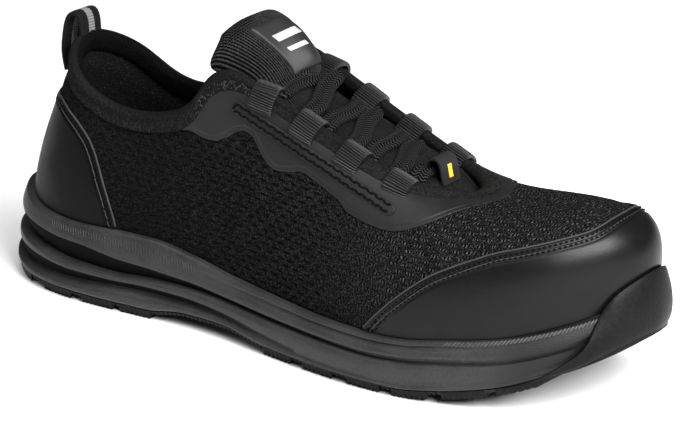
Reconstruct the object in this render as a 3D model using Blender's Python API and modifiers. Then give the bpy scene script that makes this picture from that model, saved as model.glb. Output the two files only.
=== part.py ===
"""Low safety shoe for the right foot: a hollow textile upper on a moulded sole.

Sizes are in millimetres and become metres when a mesh is made.
x runs from the heel to the toe, y is negative on the outer (lateral) side, z is up from the floor.
"""
import math

import bmesh
import bpy
import numpy as np

MM = 0.001
SOLE_LENGTH = 300.0
MIDDLE_X = 151.0
MIDDLE_Y = -0.6
RIBS_PER_SIDE = 36
END_CROWDING = 0.03
OUTLINE_SAMPLES = 2400

GAP = 0.35
UPPER_WALL = 2.2
UPPER_ROWS = 10
FEATHER_INSET = 8.0
OVERLAY_WALL = 1.2
RIM_CLEARANCE = 0.5
INSIDE = (150.0, 0.0, 45.0)

SLAB = 1.3
LUG = 2.6
TOE_LUG = 1.0
HEEL_LUG = 2.5
LUG_EMBED = 1.0
LUG_EDGE_INSET = 4.0
TOE_TUCK = 4.0
HEEL_LUG_FADE = (2.0, 20.0)
TOE_LUG_FADE = (274.0, 296.0)
MIDSOLE_TOE = (255.0, 285.0)
OUTSOLE_TOE = (254.0, 271.0)
CAP_CLEARANCE = 2 * GAP + OVERLAY_WALL + 0.2
BUMPER_CLEARANCE = 0.4
BUMPER_BLEND = 3.0

INSOLE_INSET = 11.2
INSOLE_LIFT = 0.8
INSOLE_THICKNESS = 4.0

BINDING_DEPTH = 6.5
BINDING_GAP = 0.7
BINDING_WALL = 1.0
BINDING_CROWN = 1.7
EYESTAY_TOP = 7.0

TONGUE_THICKNESS = 5.0
TONGUE_ROUND = 3.0
TONGUE_ROWS = 16
TONGUE_COLUMNS = 8
TONGUE_INSIDE = (100.0, 0.0, 50.0)
LABEL_THICKNESS = 0.8
LABEL_HALF_WIDTH = 0.62
LABEL_FROM_X = 128.5
LABEL_TO_X = 115.0

PULL_HALF_WIDTH = 7.0
PULL_THICKNESS = 1.8
PULL_STEPS = 13
PULL_FOOT_Z = 84.5
PULL_INSIDE = (25.0, 0.0, 100.0)

LOOP_ROWS_X = (136.0, 156.5, 177.5, 198.5)
LOOP_HALF_WIDTH = 5.5
LOOP_THICKNESS = 1.8
LOOP_CLEARANCE = 2.1
LOOP_REACH = (12.0, 8.0, 4.0)
LOOP_BEND = ((2.1, 1.2), (0.4, 2.7))

LACE_HALF_WIDTH = 4.2
LACE_THICKNESS = 2.2
LACE_CLEARANCE = 0.7
LACE_LIFT = 2.0
LACE_LIFT_SPAN = 0.5
LACE_END = 0.55
LACE_LOOP_AT = 1.05
LACE_STEPS = 8
BAR_X = 205.0
TAG_FROM_W = -0.05
TAG_TO_W = 0.38
TAG_CLEARANCE = 3.3
TAG_THICKNESS = 1.2
TAG_FOLD = ((4.6, 0.0), (0.0, 0.0), (-4.6, 0.0), (-9.0, 1.2))
TAG_STEPS = 4

# Sole outline seen from above: heel, outer side, toe, inner side.
OUTLINE = (
    (0, 0), (9, -21), (38, -36.5), (105, -38), (150, -44.5), (195, -52), (240, -48.5), (274, -34), (294, -12),
    (300, 8), (294, 27), (272, 44), (235, 51), (205, 49.5), (150, 39), (105, 34), (38, 36), (9, 21),
)

# Heights along the sole: lug bottoms, lower groove, upper groove, top edge, foot bed.
SOLE_COLUMNS = ("x", "tread", "low", "high", "rim", "bed")
SOLE = (
    (0, 6.0, 13.2, 24.2, 41.0, 26.0),
    (10, 2.0, 9.8, 22.0, 36.5, 25.0),
    (25, 0.0, 9.2, 20.2, 34.0, 24.0),
    (46, 0.0, 9.6, 17.7, 33.1, 23.5),
    (70, 0.0, 11.2, 16.6, 33.8, 23.0),
    (86, 0.0, 11.5, 17.6, 33.7, 22.3),
    (106, 2.6, 11.2, 17.8, 30.6, 21.0),
    (126, 2.8, 9.8, 16.2, 26.7, 19.5),
    (150, 0.0, 7.8, 14.7, 24.4, 17.5),
    (177, 0.0, 7.1, 14.0, 22.8, 15.6),
    (200, 0.0, 7.1, 13.5, 22.3, 14.0),
    (215, 0.0, 7.5, 14.3, 22.9, 14.2),
    (231, 1.8, 9.3, 16.3, 25.4, 14.8),
    (255, 6.5, 13.8, 20.0, 29.4, 18.2),
    (280, 15.0, 22.0, 27.5, 36.8, 25.0),
    (300, 27.0, 32.7, 37.5, 45.5, 35.0),
)

# Side of the midsole from the outsole up: level, distance out from the outline, the same more at the
# toe, and height above the level. The grooves are the two deep rows.
MIDSOLE_COLUMNS = ("level", "out", "toe_out", "above")
MIDSOLE = (
    ("slab", -4.5, 0.0, 0.35),
    ("slab", -0.8, 0.0, 1.35),
    ("lower_band", 0.0, 0.0, 0.0),
    ("low", -0.8, 0.0, -1.3),
    ("low", -3.0, 0.0, 0.0),
    ("low", -0.8, 0.0, 1.2),
    ("high", -1.0, 0.0, -1.2),
    ("high", -3.2, 0.0, 0.0),
    ("high", -1.8, 0.0, 1.1),
    ("upper_band", -2.6, 0.2, 0.8),
    ("rim", -4.2, 0.8, 0.0),
)

# Side of the outsole from the bottom of the slab: as above, with a share of the bumper height at the
# toe and whether the row leans on the toe cap there.
OUTSOLE_COLUMNS = ("level", "out", "toe_out", "above", "toe_above", "bumper_share", "on_cap")
OUTSOLE = (
    ("bottom", -3.2, -4.0, 0.0, 0.0, 0.0, 0),
    ("bottom", -1.3, 2.6, 0.9, 0.9, 0.0, 0),
    ("slab", -1.2, 3.2, -0.4, 0.0, 0.45, 0),
    ("slab", -1.8, 3.4, -0.1, 0.0, 1.0, 1),
    ("slab", -3.2, 3.2, 0.0, 0.0, 1.0, 1),
    ("slab", -4.4, 4.8, 0.0, 0.0, 0.4, 0),
    ("slab", -5.6, 5.95, 0.0, 0.0, 0.0, 0),
)

# Ribs of the upper: where each starts along the sole, where it ends on the collar or throat,
# and the reach of its two middle control points.
RIB_COLUMNS = ("foot_x", "top_x", "top_lateral", "top_medial", "top_z", "lean", "rise", "reach", "drop")
RIBS = (
    (0, 28.5, 0, 0, 104.7, 0.5, 30, 6.5, 26),
    (10, 33, -16, 16, 100, 1.5, 30, 6.5, 26),
    (25, 40.5, -24, 24, 94, 2.5, 29, 6, 24),
    (45, 51, -26, 26, 87.5, 3, 28, 4, 22),
    (75, 72, -26, 26, 83, 3, 26, 4, 20),
    (97, 92, -27.5, 27, 87, 3, 26, 6, 22),
    (112, 103, -28, 27.5, 95, 3, 28, 7, 26),
    (123, 110, -27.5, 27, 105, 3, 30, 8, 28),
    (134, 120, -27, 26.5, 109, 3, 32, 9, 26),
    (149, 136, -25.5, 25, 104.2, 3, 33, 10, 20),
    (167, 156, -24, 23.5, 95.4, 3, 34, 11, 14),
    (187, 177, -23, 22, 86.6, 3, 35, 12, 9),
    (208, 197, -21, 20, 78.8, 3, 37, 16, 5),
    (234, 212, -15, 14.5, 75, 4.5, 42, 26, 4),
    (268, 219.5, -7, 7.5, 73, 9, 53, 46, 0.5),
    (300, 221.5, 0.5, 0.5, 72.5, 13, 60, 58, 0),
)

# Rear edge of the toe cap as a share of each rib, from the corner at the sole to the toe centre.
TOE_CAP_COLUMNS = ("foot_x", "share")
TOE_CAP = (
    (192, 0.02), (196, 0.075), (213, 0.246), (230, 0.376), (246, 0.444),
    (260, 0.476), (280, 0.476), (290, 0.473), (300, 0.51),
)

# Top edge of the heel counter.
COUNTER_COLUMNS = ("foot_x", "top_z")
COUNTER = (
    (0, 80.5), (5, 81), (16, 81.5), (33, 77), (48, 69.5), (54, 63.5), (62, 49), (68, 35),
)

# Lower edge of the eyestay, measured down each rib from the collar edge.
EYESTAY_COLUMNS = ("foot_x", "depth")
EYESTAY = (
    (100, 7), (111, 12), (119, 23.5), (130, 27), (138, 22.5), (143, 29), (148, 32), (158, 27), (163, 23),
    (181, 24), (186, 26), (204, 25), (225, 20), (245, 15), (276, 11.5), (300, 11),
)

# Height of the toe bumper above the outsole slab.
BUMPER_COLUMNS = ("x", "height")
BUMPER = (
    (262, 0), (270, 0.8), (276, 2.9), (281, 5.2), (284, 7.5), (286, 10.3), (288, 16.1), (290, 20.2),
    (292, 23.3), (295, 25.4), (300, 27.2),
)

# Tongue centre line from the vamp to its free end, with half width and drop of the edges.
TONGUE_COLUMNS_NAMES = ("x", "z", "half_width", "sag")
TONGUE = (
    (230, 66.5, 15, 3),
    (215, 69.8, 20, 3),
    (203, 74.5, 23, 3.5),
    (188, 79, 25, 4),
    (167, 86.5, 25.5, 5),
    (147, 94.5, 24, 7),
    (136, 101, 22, 8.5),
    (129.5, 111, 20, 9),
    (123.5, 119.5, 25, 14.5),
    (116, 126.5, 23, 10.5),
    (112.5, 128.8, 17.5, 6),
)

# Path of the heel pull loop in the middle plane, above its foot on the heel.
PULL_COLUMNS = ("x", "z")
PULL = (
    (19.6, 90), (20.5, 97), (20.9, 104), (21.9, 109.5), (24.1, 113), (27, 113.6),
    (29, 111), (29.7, 106.7),
)

# Lugs under the sole: rows along x and shares of the width that each lug takes.
LUG_ROWS_X = (
    (8, 20), (33, 46), (55, 68), (75, 87), (150, 162), (172, 184), (195, 207), (216, 228), (237, 250),
    (258, 268),
)
LUG_SHARES = ((0.0, 0.27), (0.37, 0.63), (0.73, 1.0))
LUG_SWEEP = 5.0
BOX_FACES = ((0, 1, 2, 3), (4, 5, 6, 7), (0, 1, 5, 4), (1, 2, 6, 5), (2, 3, 7, 6), (3, 0, 4, 7))

MATERIALS = {
    # name: base colour, roughness
    "knit": ((0.018, 0.018, 0.019, 1), 0.85),
    "midsole": ((0.060, 0.060, 0.062, 1), 0.55),
    "outsole": ((0.055, 0.055, 0.057, 1), 0.60),
    "lining": ((0.012, 0.012, 0.013, 1), 0.95),
    "leather": ((0.020, 0.020, 0.021, 1), 0.40),
    "film": ((0.045, 0.045, 0.047, 1), 0.50),
    "binding": ((0.022, 0.020, 0.018, 1), 0.85),
    "webbing": ((0.020, 0.020, 0.021, 1), 0.80),
    "lace": ((0.018, 0.018, 0.019, 1), 0.80),
    "patch": ((0.040, 0.040, 0.042, 1), 0.60),
}


def natural_spline(stations, values):
    """Smooth curve through the values, straight at both ends."""
    xs = np.asarray(stations, float)
    ys = np.asarray(values, float)
    step = np.diff(xs)
    count = len(xs)
    system = np.zeros((count, count))
    right = np.zeros_like(ys)
    system[0, 0] = system[-1, -1] = 1.0
    for i in range(1, count - 1):
        system[i, i - 1] = step[i - 1]
        system[i, i] = 2.0 * (step[i - 1] + step[i])
        system[i, i + 1] = step[i]
        right[i] = 6.0 * ((ys[i + 1] - ys[i]) / step[i] - (ys[i] - ys[i - 1]) / step[i - 1])
    bend = np.linalg.solve(system, right)

    def curve(x):
        x = np.clip(np.asarray(x, float), xs[0], xs[-1])
        i = np.clip(np.searchsorted(xs, x) - 1, 0, count - 2)
        width = step[i]
        a = (xs[i + 1] - x) / width
        if ys.ndim > 1:
            a = a[..., None]
            width = width[..., None]
        b = 1.0 - a
        bow = ((a**3 - a) * bend[i] + (b**3 - b) * bend[i + 1]) * width**2 / 6.0
        return a * ys[i] + b * ys[i + 1] + bow

    return curve


def graded(stations, values):
    """Curve through the values that never overshoots between two of them."""
    xs = np.asarray(stations, float)
    ys = np.asarray(values, float)
    step = np.diff(xs)
    slope = np.diff(ys) / step
    tangent = np.zeros_like(ys)
    tangent[0] = slope[0]
    tangent[-1] = slope[-1]
    for i in range(1, len(xs) - 1):
        if slope[i - 1] * slope[i] > 0.0:
            tangent[i] = 2.0 * slope[i - 1] * slope[i] / (slope[i - 1] + slope[i])

    def curve(x):
        x = np.clip(np.asarray(x, float), xs[0], xs[-1])
        i = np.clip(np.searchsorted(xs, x) - 1, 0, len(step) - 1)
        t = (x - xs[i]) / step[i]
        rise = ys[i + 1] - ys[i]
        start = step[i] * tangent[i]
        finish = step[i] * tangent[i + 1]
        return ys[i] + t * (start + t * (3 * rise - 2 * start - finish + t * (start + finish - 2 * rise)))

    return curve


def table_curve(rows, names, column):
    at = names.index(column)
    return graded([row[0] for row in rows], [row[at] for row in rows])


def smooth_step(x, start, finish):
    t = np.clip((np.asarray(x, float) - start) / (finish - start), 0.0, 1.0)
    return t * t * (3.0 - 2.0 * t)


def unit(vectors):
    return vectors / np.linalg.norm(vectors, axis=-1)[..., None]


def outline_loop():
    """Points and outward normals on the sole outline: heel, outer side, toe, inner side."""
    points = np.array(OUTLINE * 3 + OUTLINE[:1], float)
    chord = np.linalg.norm(np.diff(points, axis=0), axis=1) ** 0.75
    along = np.concatenate([[0.0], np.cumsum(chord)])
    curve = natural_spline(along, points)
    first = along[len(OUTLINE)]
    last = along[2 * len(OUTLINE)]
    dense = curve(np.linspace(first, last, OUTLINE_SAMPLES, endpoint=False))
    dense = np.roll(dense, -int(dense[:, 0].argmin()), axis=0)
    toe = int(dense[:, 0].argmax())
    ahead = np.roll(dense, -3, axis=0) - np.roll(dense, 3, axis=0)
    normal = unit(np.column_stack([-ahead[:, 1], ahead[:, 0]]))
    if ((dense - dense.mean(0)) * normal).sum() < 0.0:
        normal = -normal
    share = np.arange(RIBS_PER_SIDE + 1) / RIBS_PER_SIDE
    share = share - END_CROWDING * np.sin(2 * math.pi * share)
    lateral = np.hstack([dense, normal])[:toe + 1]
    medial = np.hstack([dense, normal])[toe:][::-1]
    length = np.concatenate([[0.0], np.cumsum(np.linalg.norm(np.diff(lateral[:, :2], axis=0), axis=1))])
    outer = np.column_stack([np.interp(share * length[-1], length, lateral[:, c]) for c in range(4)])
    inner = np.column_stack([np.interp(outer[:, 0], medial[:, 0], medial[:, c]) for c in range(4)])
    loop = np.vstack([outer, inner[1:-1][::-1]])
    return loop[:, :2], unit(loop[:, 2:])


EDGE, EDGE_NORMAL = outline_loop()
COUNT = len(EDGE)
TOE = RIBS_PER_SIDE
SOLE_CURVES = {name: table_curve(SOLE, SOLE_COLUMNS, name) for name in SOLE_COLUMNS[1:]}


def sole_level(name, x):
    return SOLE_CURVES[name](x)


def edge_ring(offset, level, extra=0.0):
    """Ring on the sole outline moved outward by offset, extra above the height level(x)."""
    plan = EDGE + EDGE_NORMAL * np.broadcast_to(offset, (COUNT,))[:, None]
    return np.column_stack([plan, level(plan[:, 0]) + extra])


def rib_controls():
    """Four control points of every rib of the upper."""
    table = np.array(RIBS, float)
    turn = np.arccos(1.0 - 2.0 * table[:, 0] / SOLE_LENGTH)
    curve = natural_spline(turn, table[:, 1:])
    foot_x = np.clip(EDGE[:, 0], 0.0, SOLE_LENGTH)
    columns = curve(np.arccos(1.0 - 2.0 * foot_x / SOLE_LENGTH)).T
    top_x, lateral, medial, top_z, lean, rise, reach, drop = columns
    top_y = np.where(np.arange(COUNT) <= TOE, lateral, medial)
    outward = np.column_stack([EDGE_NORMAL, np.zeros(COUNT)])
    upward = np.array([0.0, 0.0, 1.0])
    foot = edge_ring(-FEATHER_INSET, SOLE_CURVES["bed"], GAP)
    top = np.column_stack([top_x, top_y, top_z])
    inward = (top - foot) * np.array([1.0, 1.0, 0.0])
    inward = unit(inward)
    low = foot + outward * lean[:, None] + upward * rise[:, None]
    high = top - inward * reach[:, None] - upward * drop[:, None]
    return np.stack([foot, low, high, top])


CONTROLS = rib_controls()


def between_ribs(values, rib):
    """Values kept per rib, read at a rib number that may lie between two ribs."""
    rib = np.asarray(rib, float)
    before = np.floor(rib).astype(int)
    part = (rib - before)[..., None]
    return values[before % COUNT] * (1 - part) + values[(before + 1) % COUNT] * part


def controls_at(rib):
    """The four control points at a rib number."""
    return tuple(between_ribs(points, rib) for points in CONTROLS)


def skin(rib, share):
    """Point of the upper's outer surface: share 0 is the sole edge, 1 is the collar edge."""
    a, b, c, d = controls_at(rib)
    t = np.asarray(share, float)[..., None]
    return (1 - t) ** 3 * a + 3 * (1 - t) ** 2 * t * b + 3 * (1 - t) * t**2 * c + t**3 * d


def skin_rise(rib, share):
    """Unit direction up the rib."""
    a, b, c, d = controls_at(rib)
    t = np.asarray(share, float)[..., None]
    return unit((1 - t) ** 2 * (b - a) + 2 * (1 - t) * t * (c - b) + t**2 * (d - c))


def skin_normal(rib, share):
    """Unit normal pointing out of the shoe."""
    rib = np.asarray(rib, float)
    along = skin(rib + 1.0, share) - skin(rib - 1.0, share)
    return unit(np.cross(along, skin_rise(rib, share)))


ALL_RIBS = np.arange(COUNT)
SHARES = np.linspace(0.0, 1.0, 241)


def share_at_height(rib, height):
    line = skin(np.full(SHARES.shape, rib), SHARES)[:, 2]
    over = int(np.argmax(line >= height))
    over = max(over, 1)
    part = (height - line[over - 1]) / (line[over] - line[over - 1])
    return float(SHARES[over - 1] + part * (SHARES[1] - SHARES[0]))


def share_below_top(rib, distance):
    line = skin(np.full(SHARES.shape, rib), SHARES)
    left = np.linalg.norm(np.diff(line, axis=0), axis=1)[::-1].cumsum()[::-1]
    return float(np.interp(-distance, -np.append(left, 0.0), SHARES))


def row_shares():
    """Shares of the upper's rows on every rib; the last strip is as deep as the binding."""
    strip = np.array([share_below_top(k, BINDING_DEPTH) for k in ALL_RIBS])
    rows = [strip * part for part in np.linspace(0.0, 1.0, UPPER_ROWS - 1)]
    return np.stack(rows + [np.ones(COUNT)])


ROWS = row_shares()


def tongue_curves():
    table = np.array(TONGUE, float)
    steps = np.linalg.norm(np.diff(table[:, :2], axis=0), axis=1)
    along = np.concatenate([[0.0], np.cumsum(steps)])
    return natural_spline(along, table), along[-1]


TONGUE_CURVE, TONGUE_LENGTH = tongue_curves()
TONGUE_ALONG = np.linspace(0.0, TONGUE_LENGTH, TONGUE_ROWS)
TONGUE_W = np.linspace(-1.0, 1.0, TONGUE_COLUMNS + 1)


def tongue_frame(along):
    centre = TONGUE_CURVE(along)
    ahead = TONGUE_CURVE(along + 0.5) - TONGUE_CURVE(along - 0.5)
    normal = unit(np.stack([ahead[..., 1], -ahead[..., 0]], -1))
    return centre, normal


def tongue_point(along, across, lift=0.0):
    """Outer face of the tongue, raised by lift."""
    along = np.asarray(along, float)
    across = np.asarray(across, float)
    centre, normal = tongue_frame(along)
    depth = lift - centre[..., 3] * np.abs(across)**TONGUE_ROUND
    x = centre[..., 0] + normal[..., 0] * depth
    y = centre[..., 2] * across * np.ones_like(x)
    z = centre[..., 1] + normal[..., 1] * depth
    return np.stack([x, y, z], -1)


def tongue_along(x):
    samples = np.linspace(0.0, TONGUE_LENGTH, 400)
    return float(np.interp(-x, -TONGUE_CURVE(samples)[:, 0], samples))


def clear_scene():
    for old in list(bpy.data.objects):
        bpy.data.objects.remove(old, do_unlink=True)


def make_material(name):
    colour, roughness = MATERIALS[name]
    material = bpy.data.materials.new(name)
    material.use_nodes = True
    shader = material.node_tree.nodes["Principled BSDF"]
    shader.inputs["Base Color"].default_value = colour
    shader.inputs["Roughness"].default_value = roughness
    return material


clear_scene()
PARTS = bpy.data.collections.new("safety_shoe")
CUTTERS = bpy.data.collections.new("joined_pieces")
for collection in (PARTS, CUTTERS):
    bpy.context.scene.collection.children.link(collection)
ORIGIN = bpy.data.objects.new("shoe_origin", None)
ORIGIN.location = (-MIDDLE_X * MM, -MIDDLE_Y * MM, 0.0)
PARTS.objects.link(ORIGIN)


def add_object(name, vertices, faces, material, helper=False):
    """Mesh object from points in millimetres; doubled points are merged and faces turned outward."""
    mesh = bpy.data.meshes.new(name)
    mesh.from_pydata([tuple(float(c) * MM for c in v) for v in vertices], [], faces)
    work = bmesh.new()
    work.from_mesh(mesh)
    bmesh.ops.remove_doubles(work, verts=work.verts, dist=0.00002)
    bmesh.ops.dissolve_degenerate(work, edges=work.edges, dist=0.00001)
    bmesh.ops.recalc_face_normals(work, faces=work.faces)
    work.to_mesh(mesh)
    work.free()
    thing = bpy.data.objects.new(name, mesh)
    thing.parent = ORIGIN
    mesh.materials.append(make_material(material))
    if helper:
        CUTTERS.objects.link(thing)
        thing.hide_render = True
        thing.display_type = "WIRE"
    else:
        PARTS.objects.link(thing)
    return thing


def grid_faces(rows, columns, wrap_columns=False, wrap_rows=False):
    faces = []
    for r in range(rows if wrap_rows else rows - 1):
        for c in range(columns if wrap_columns else columns - 1):
            right = (c + 1) % columns
            down = (r + 1) % rows
            faces.append((r * columns + c, r * columns + right, down * columns + right, down * columns + c))
    return faces


def face_outward(thing, inside):
    """Turn an open sheet so that its normals point away from the inside point."""
    mesh = thing.data
    total = 0.0
    for face in mesh.polygons:
        away = np.array(face.center) / MM - inside
        total += float(np.dot(face.normal, away)) * face.area
    if total < 0.0:
        mesh.flip_normals()


def sheet(name, points, material, thickness, outward, inside, wrap=False, helper=False):
    """Open grid of points thickened away from the inside point, or towards it."""
    rows, columns = points.shape[:2]
    thing = add_object(name, points.reshape(-1, 3), grid_faces(rows, columns, wrap), material, helper)
    face_outward(thing, np.asarray(inside, float))
    solid = thing.modifiers.new("thickness", "SOLIDIFY")
    solid.thickness = thickness * MM
    solid.offset = 1.0 if outward else -1.0
    solid.use_even_offset = True
    return thing


def ladder(first):
    """Faces that close a ring of points by joining its outer side to its inner side."""
    faces = [(first, first + 1, first + COUNT - 1)]
    for k in range(1, TOE - 1):
        faces.append((first + k, first + k + 1, first + COUNT - k - 1, first + COUNT - k))
    faces.append((first + TOE - 1, first + TOE, first + TOE + 1))
    return faces


def loft(name, rings, material):
    """Closed solid through rings of equal length, closed by a ladder at both ends."""
    vertices = np.vstack(rings)
    faces = grid_faces(len(rings), COUNT, wrap_columns=True)
    faces += ladder(0)
    faces += ladder((len(rings) - 1) * COUNT)
    return add_object(name, vertices, faces, material)


def join(thing, other):
    union = thing.modifiers.new("join", "BOOLEAN")
    union.operation = "UNION"
    union.solver = "EXACT"
    union.object = other


def build_upper():
    points = np.stack([skin(ALL_RIBS, shares) for shares in ROWS])
    sheet("upper", points, "knit", UPPER_WALL, False, INSIDE, wrap=True)


def lug_height(x):
    heel = smooth_step(x, *HEEL_LUG_FADE)
    toe = smooth_step(x, *TOE_LUG_FADE)
    return (HEEL_LUG + (LUG - HEEL_LUG) * heel) * (1 - toe) + TOE_LUG * toe


def slab_bottom(x):
    return sole_level("tread", x) + lug_height(x)


def slab_top(x):
    return slab_bottom(x) + SLAB


def inner_wall(height):
    """Ring just outside the upper at the given heights."""
    shares = np.array([share_at_height(k, height[k]) for k in ALL_RIBS])
    return skin(ALL_RIBS, shares) + skin_normal(ALL_RIBS, shares) * GAP


def sole_levels():
    """Height curves that the side profiles refer to."""
    low = SOLE_CURVES["low"]
    high = SOLE_CURVES["high"]
    rim = SOLE_CURVES["rim"]
    return {
        "bottom": slab_bottom,
        "slab": slab_top,
        "lower_band": lambda x: 0.5 * (slab_top(x) + low(x)),
        "low": low,
        "high": high,
        "upper_band": lambda x: 0.5 * (high(x) + rim(x)),
        "rim": rim,
    }


def build_midsole():
    toe = smooth_step(EDGE[:, 0], *MIDSOLE_TOE)
    levels = sole_levels()
    rings = [edge_ring(out + toe_out * toe, levels[level], above) for level, out, toe_out, above in MIDSOLE]
    rim = sole_level("rim", EDGE[:, 0])
    rings += [
        inner_wall(rim),
        inner_wall(0.5 * (rim + CONTROLS[0][:, 2])),
        edge_ring(GAP - FEATHER_INSET, SOLE_CURVES["bed"]),
    ]
    loft("midsole", rings, "midsole")


def bumper_inner_offset(top, high, rim):
    """Distance from the outline at which the bumper's top edge clears the sole and the toe cap."""
    shares = np.array([share_at_height(k, top[k]) for k in ALL_RIBS])
    reach = skin(ALL_RIBS, shares)[:, :2] + skin_normal(ALL_RIBS, shares)[:, :2] * CAP_CLEARANCE
    cap = ((reach - EDGE) * EDGE_NORMAL).sum(1)
    blend = np.clip((top - high) / (rim + BUMPER_BLEND - high), 0.0, 1.0)
    return BUMPER_CLEARANCE + (cap - BUMPER_CLEARANCE) * blend


def toe_turn(x):
    """0 along the sole and 1 where the outsole turns up into the toe bumper."""
    return smooth_step(x, *OUTSOLE_TOE)


def build_outsole():
    x = EDGE[:, 0]
    toe = toe_turn(x)
    height = table_curve(BUMPER, BUMPER_COLUMNS, "height")(x) * toe
    inner_top = bumper_inner_offset(slab_top(x) + height, sole_level("high", x), sole_level("rim", x))
    levels = sole_levels()
    rings = []
    for level, out, toe_out, above, toe_above, bumper_share, on_cap in OUTSOLE:
        offset = out + (toe_out + on_cap * inner_top) * toe
        rings.append(edge_ring(offset, levels[level], above + toe_above * toe + bumper_share * height))
    outsole = loft("outsole", rings, "outsole")
    join(outsole, build_lugs())


def lug_corner(x, share):
    inset = LUG_EDGE_INSET + TOE_TUCK * float(toe_turn(x))
    outer_side = EDGE[:TOE + 1]
    inner_side = np.vstack([EDGE[TOE:], EDGE[:1]])[::-1]
    lateral = float(np.interp(x, outer_side[:, 0], outer_side[:, 1])) + inset
    medial = float(np.interp(x, inner_side[:, 0], inner_side[:, 1])) - inset
    return lateral + (medial - lateral) * share


def build_lugs():
    """All lugs in one helper mesh, each a block from the floor line up into the slab."""
    vertices = []
    faces = []
    for start, stop in LUG_ROWS_X:
        for from_share, to_share in LUG_SHARES:
            first = len(vertices)
            corners = []
            for x, share in ((start, from_share), (stop, from_share), (stop, to_share), (start, to_share)):
                swept = x + LUG_SWEEP * (0.5 - abs(share - 0.5))
                corners.append((swept, lug_corner(x, share)))
            for cx, cy in corners:
                vertices.append((cx, cy, float(sole_level("tread", cx))))
            for cx, cy in corners:
                vertices.append((cx, cy, float(slab_bottom(cx)) + LUG_EMBED))
            for box_face in BOX_FACES:
                faces.append(tuple(first + i for i in box_face))
    return add_object("lug_blocks", vertices, faces, "outsole", helper=True)


def build_insole():
    low = edge_ring(-INSOLE_INSET, SOLE_CURVES["bed"], INSOLE_LIFT)
    high = low + np.array([0.0, 0.0, INSOLE_THICKNESS])
    loft("insole", [low, high], "lining")


def build_tongue():
    points = np.stack([tongue_point(np.full(TONGUE_W.shape, a), TONGUE_W) for a in TONGUE_ALONG])
    sheet("tongue", points, "knit", TONGUE_THICKNESS, False, TONGUE_INSIDE)


def overlay(name, ribs, from_share, to_share, material):
    """Skin patch on the upper between two shares of each rib, on the upper's own rows."""
    rows = []
    for shares in between_ribs(ROWS.T, ribs).T:
        shares = np.clip(shares, from_share, to_share)
        rows.append(skin(ribs, shares) + skin_normal(ribs, shares) * GAP)
    sheet(name, np.stack(rows), material, OVERLAY_WALL, True, INSIDE)


def ribs_with(test):
    """Rib numbers that pass the test on their outline x, as one unbroken run."""
    chosen = np.array([k for k in ALL_RIBS if test(EDGE[k, 0])])
    jump = np.flatnonzero(np.diff(chosen) > 1)
    if len(jump):
        split = int(jump[0]) + 1
        chosen = np.concatenate([chosen[split:] - COUNT, chosen[:split]])
    return chosen


def fine_ends(ribs, intervals, parts):
    """The run of ribs with its end intervals divided into parts."""
    steps = np.arange(1, parts) / parts
    extra = [k + steps for k in ribs[:intervals]] + [k - steps for k in ribs[-intervals:]]
    return np.sort(np.concatenate([ribs] + extra))


def rib_x(ribs):
    return between_ribs(EDGE, ribs)[:, 0]


def above_rim(ribs):
    heights = sole_level("rim", rib_x(ribs)) + RIM_CLEARANCE
    return np.array([share_at_height(k, z) for k, z in zip(ribs, heights)])


def pinch_ends(from_share, to_share):
    """Bring a patch to a point at both ends and keep it right side up between them."""
    to_share = np.maximum(to_share, from_share)
    to_share[0] = from_share[0]
    to_share[-1] = from_share[-1]
    return to_share


def build_toe_cap():
    ribs = ribs_with(lambda x: x >= TOE_CAP[0][0])
    low = above_rim(ribs)
    high = table_curve(TOE_CAP, TOE_CAP_COLUMNS, "share")(rib_x(ribs))
    overlay("toe_cap", ribs, low, pinch_ends(low, high), "leather")


def build_heel_counter():
    ribs = fine_ends(ribs_with(lambda x: x <= COUNTER[-1][0] + 1.0), 2, 3)
    low = above_rim(ribs)
    heights = table_curve(COUNTER, COUNTER_COLUMNS, "top_z")(rib_x(ribs))
    high = np.array([share_at_height(k, z) for k, z in zip(ribs, heights)])
    overlay("heel_counter", ribs, low, pinch_ends(low, high), "leather")


def build_eyestay():
    ribs = ribs_with(lambda x: x >= EYESTAY[0][0])
    depth = table_curve(EYESTAY, EYESTAY_COLUMNS, "depth")(rib_x(ribs))
    high = np.array([share_below_top(k, EYESTAY_TOP) for k in ribs])
    low = np.array([share_below_top(k, d) for k, d in zip(ribs, depth)])
    low[0] = high[0]
    low[-1] = high[-1]
    overlay("eyestay", ribs, low, high, "film")


def build_collar_binding():
    """Ring with a hooked section over the collar and throat edge."""
    low = skin(ALL_RIBS, ROWS[-2])
    top = skin(ALL_RIBS, ROWS[-1])
    up = unit(top - low)
    middle = 0.5 * (low + top)
    normal = unit(np.cross(np.roll(middle, -1, axis=0) - np.roll(middle, 1, axis=0), up))
    near = BINDING_GAP
    far = BINDING_GAP + BINDING_WALL
    inner_near = UPPER_WALL + BINDING_GAP
    inner_far = UPPER_WALL + far
    section = [
        low + normal * near,
        low + normal * far,
        top + normal * far + up * 0.6,
        top - normal * UPPER_WALL / 2 + up * BINDING_CROWN,
        top - normal * inner_far + up * 0.6,
        low - normal * inner_far,
        low - normal * inner_near,
        top - normal * inner_near + up * BINDING_GAP,
        top + normal * near + up * BINDING_GAP,
    ]
    faces = grid_faces(len(section), COUNT, wrap_columns=True, wrap_rows=True)
    add_object("collar_binding", np.vstack(section), faces, "binding")


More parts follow.
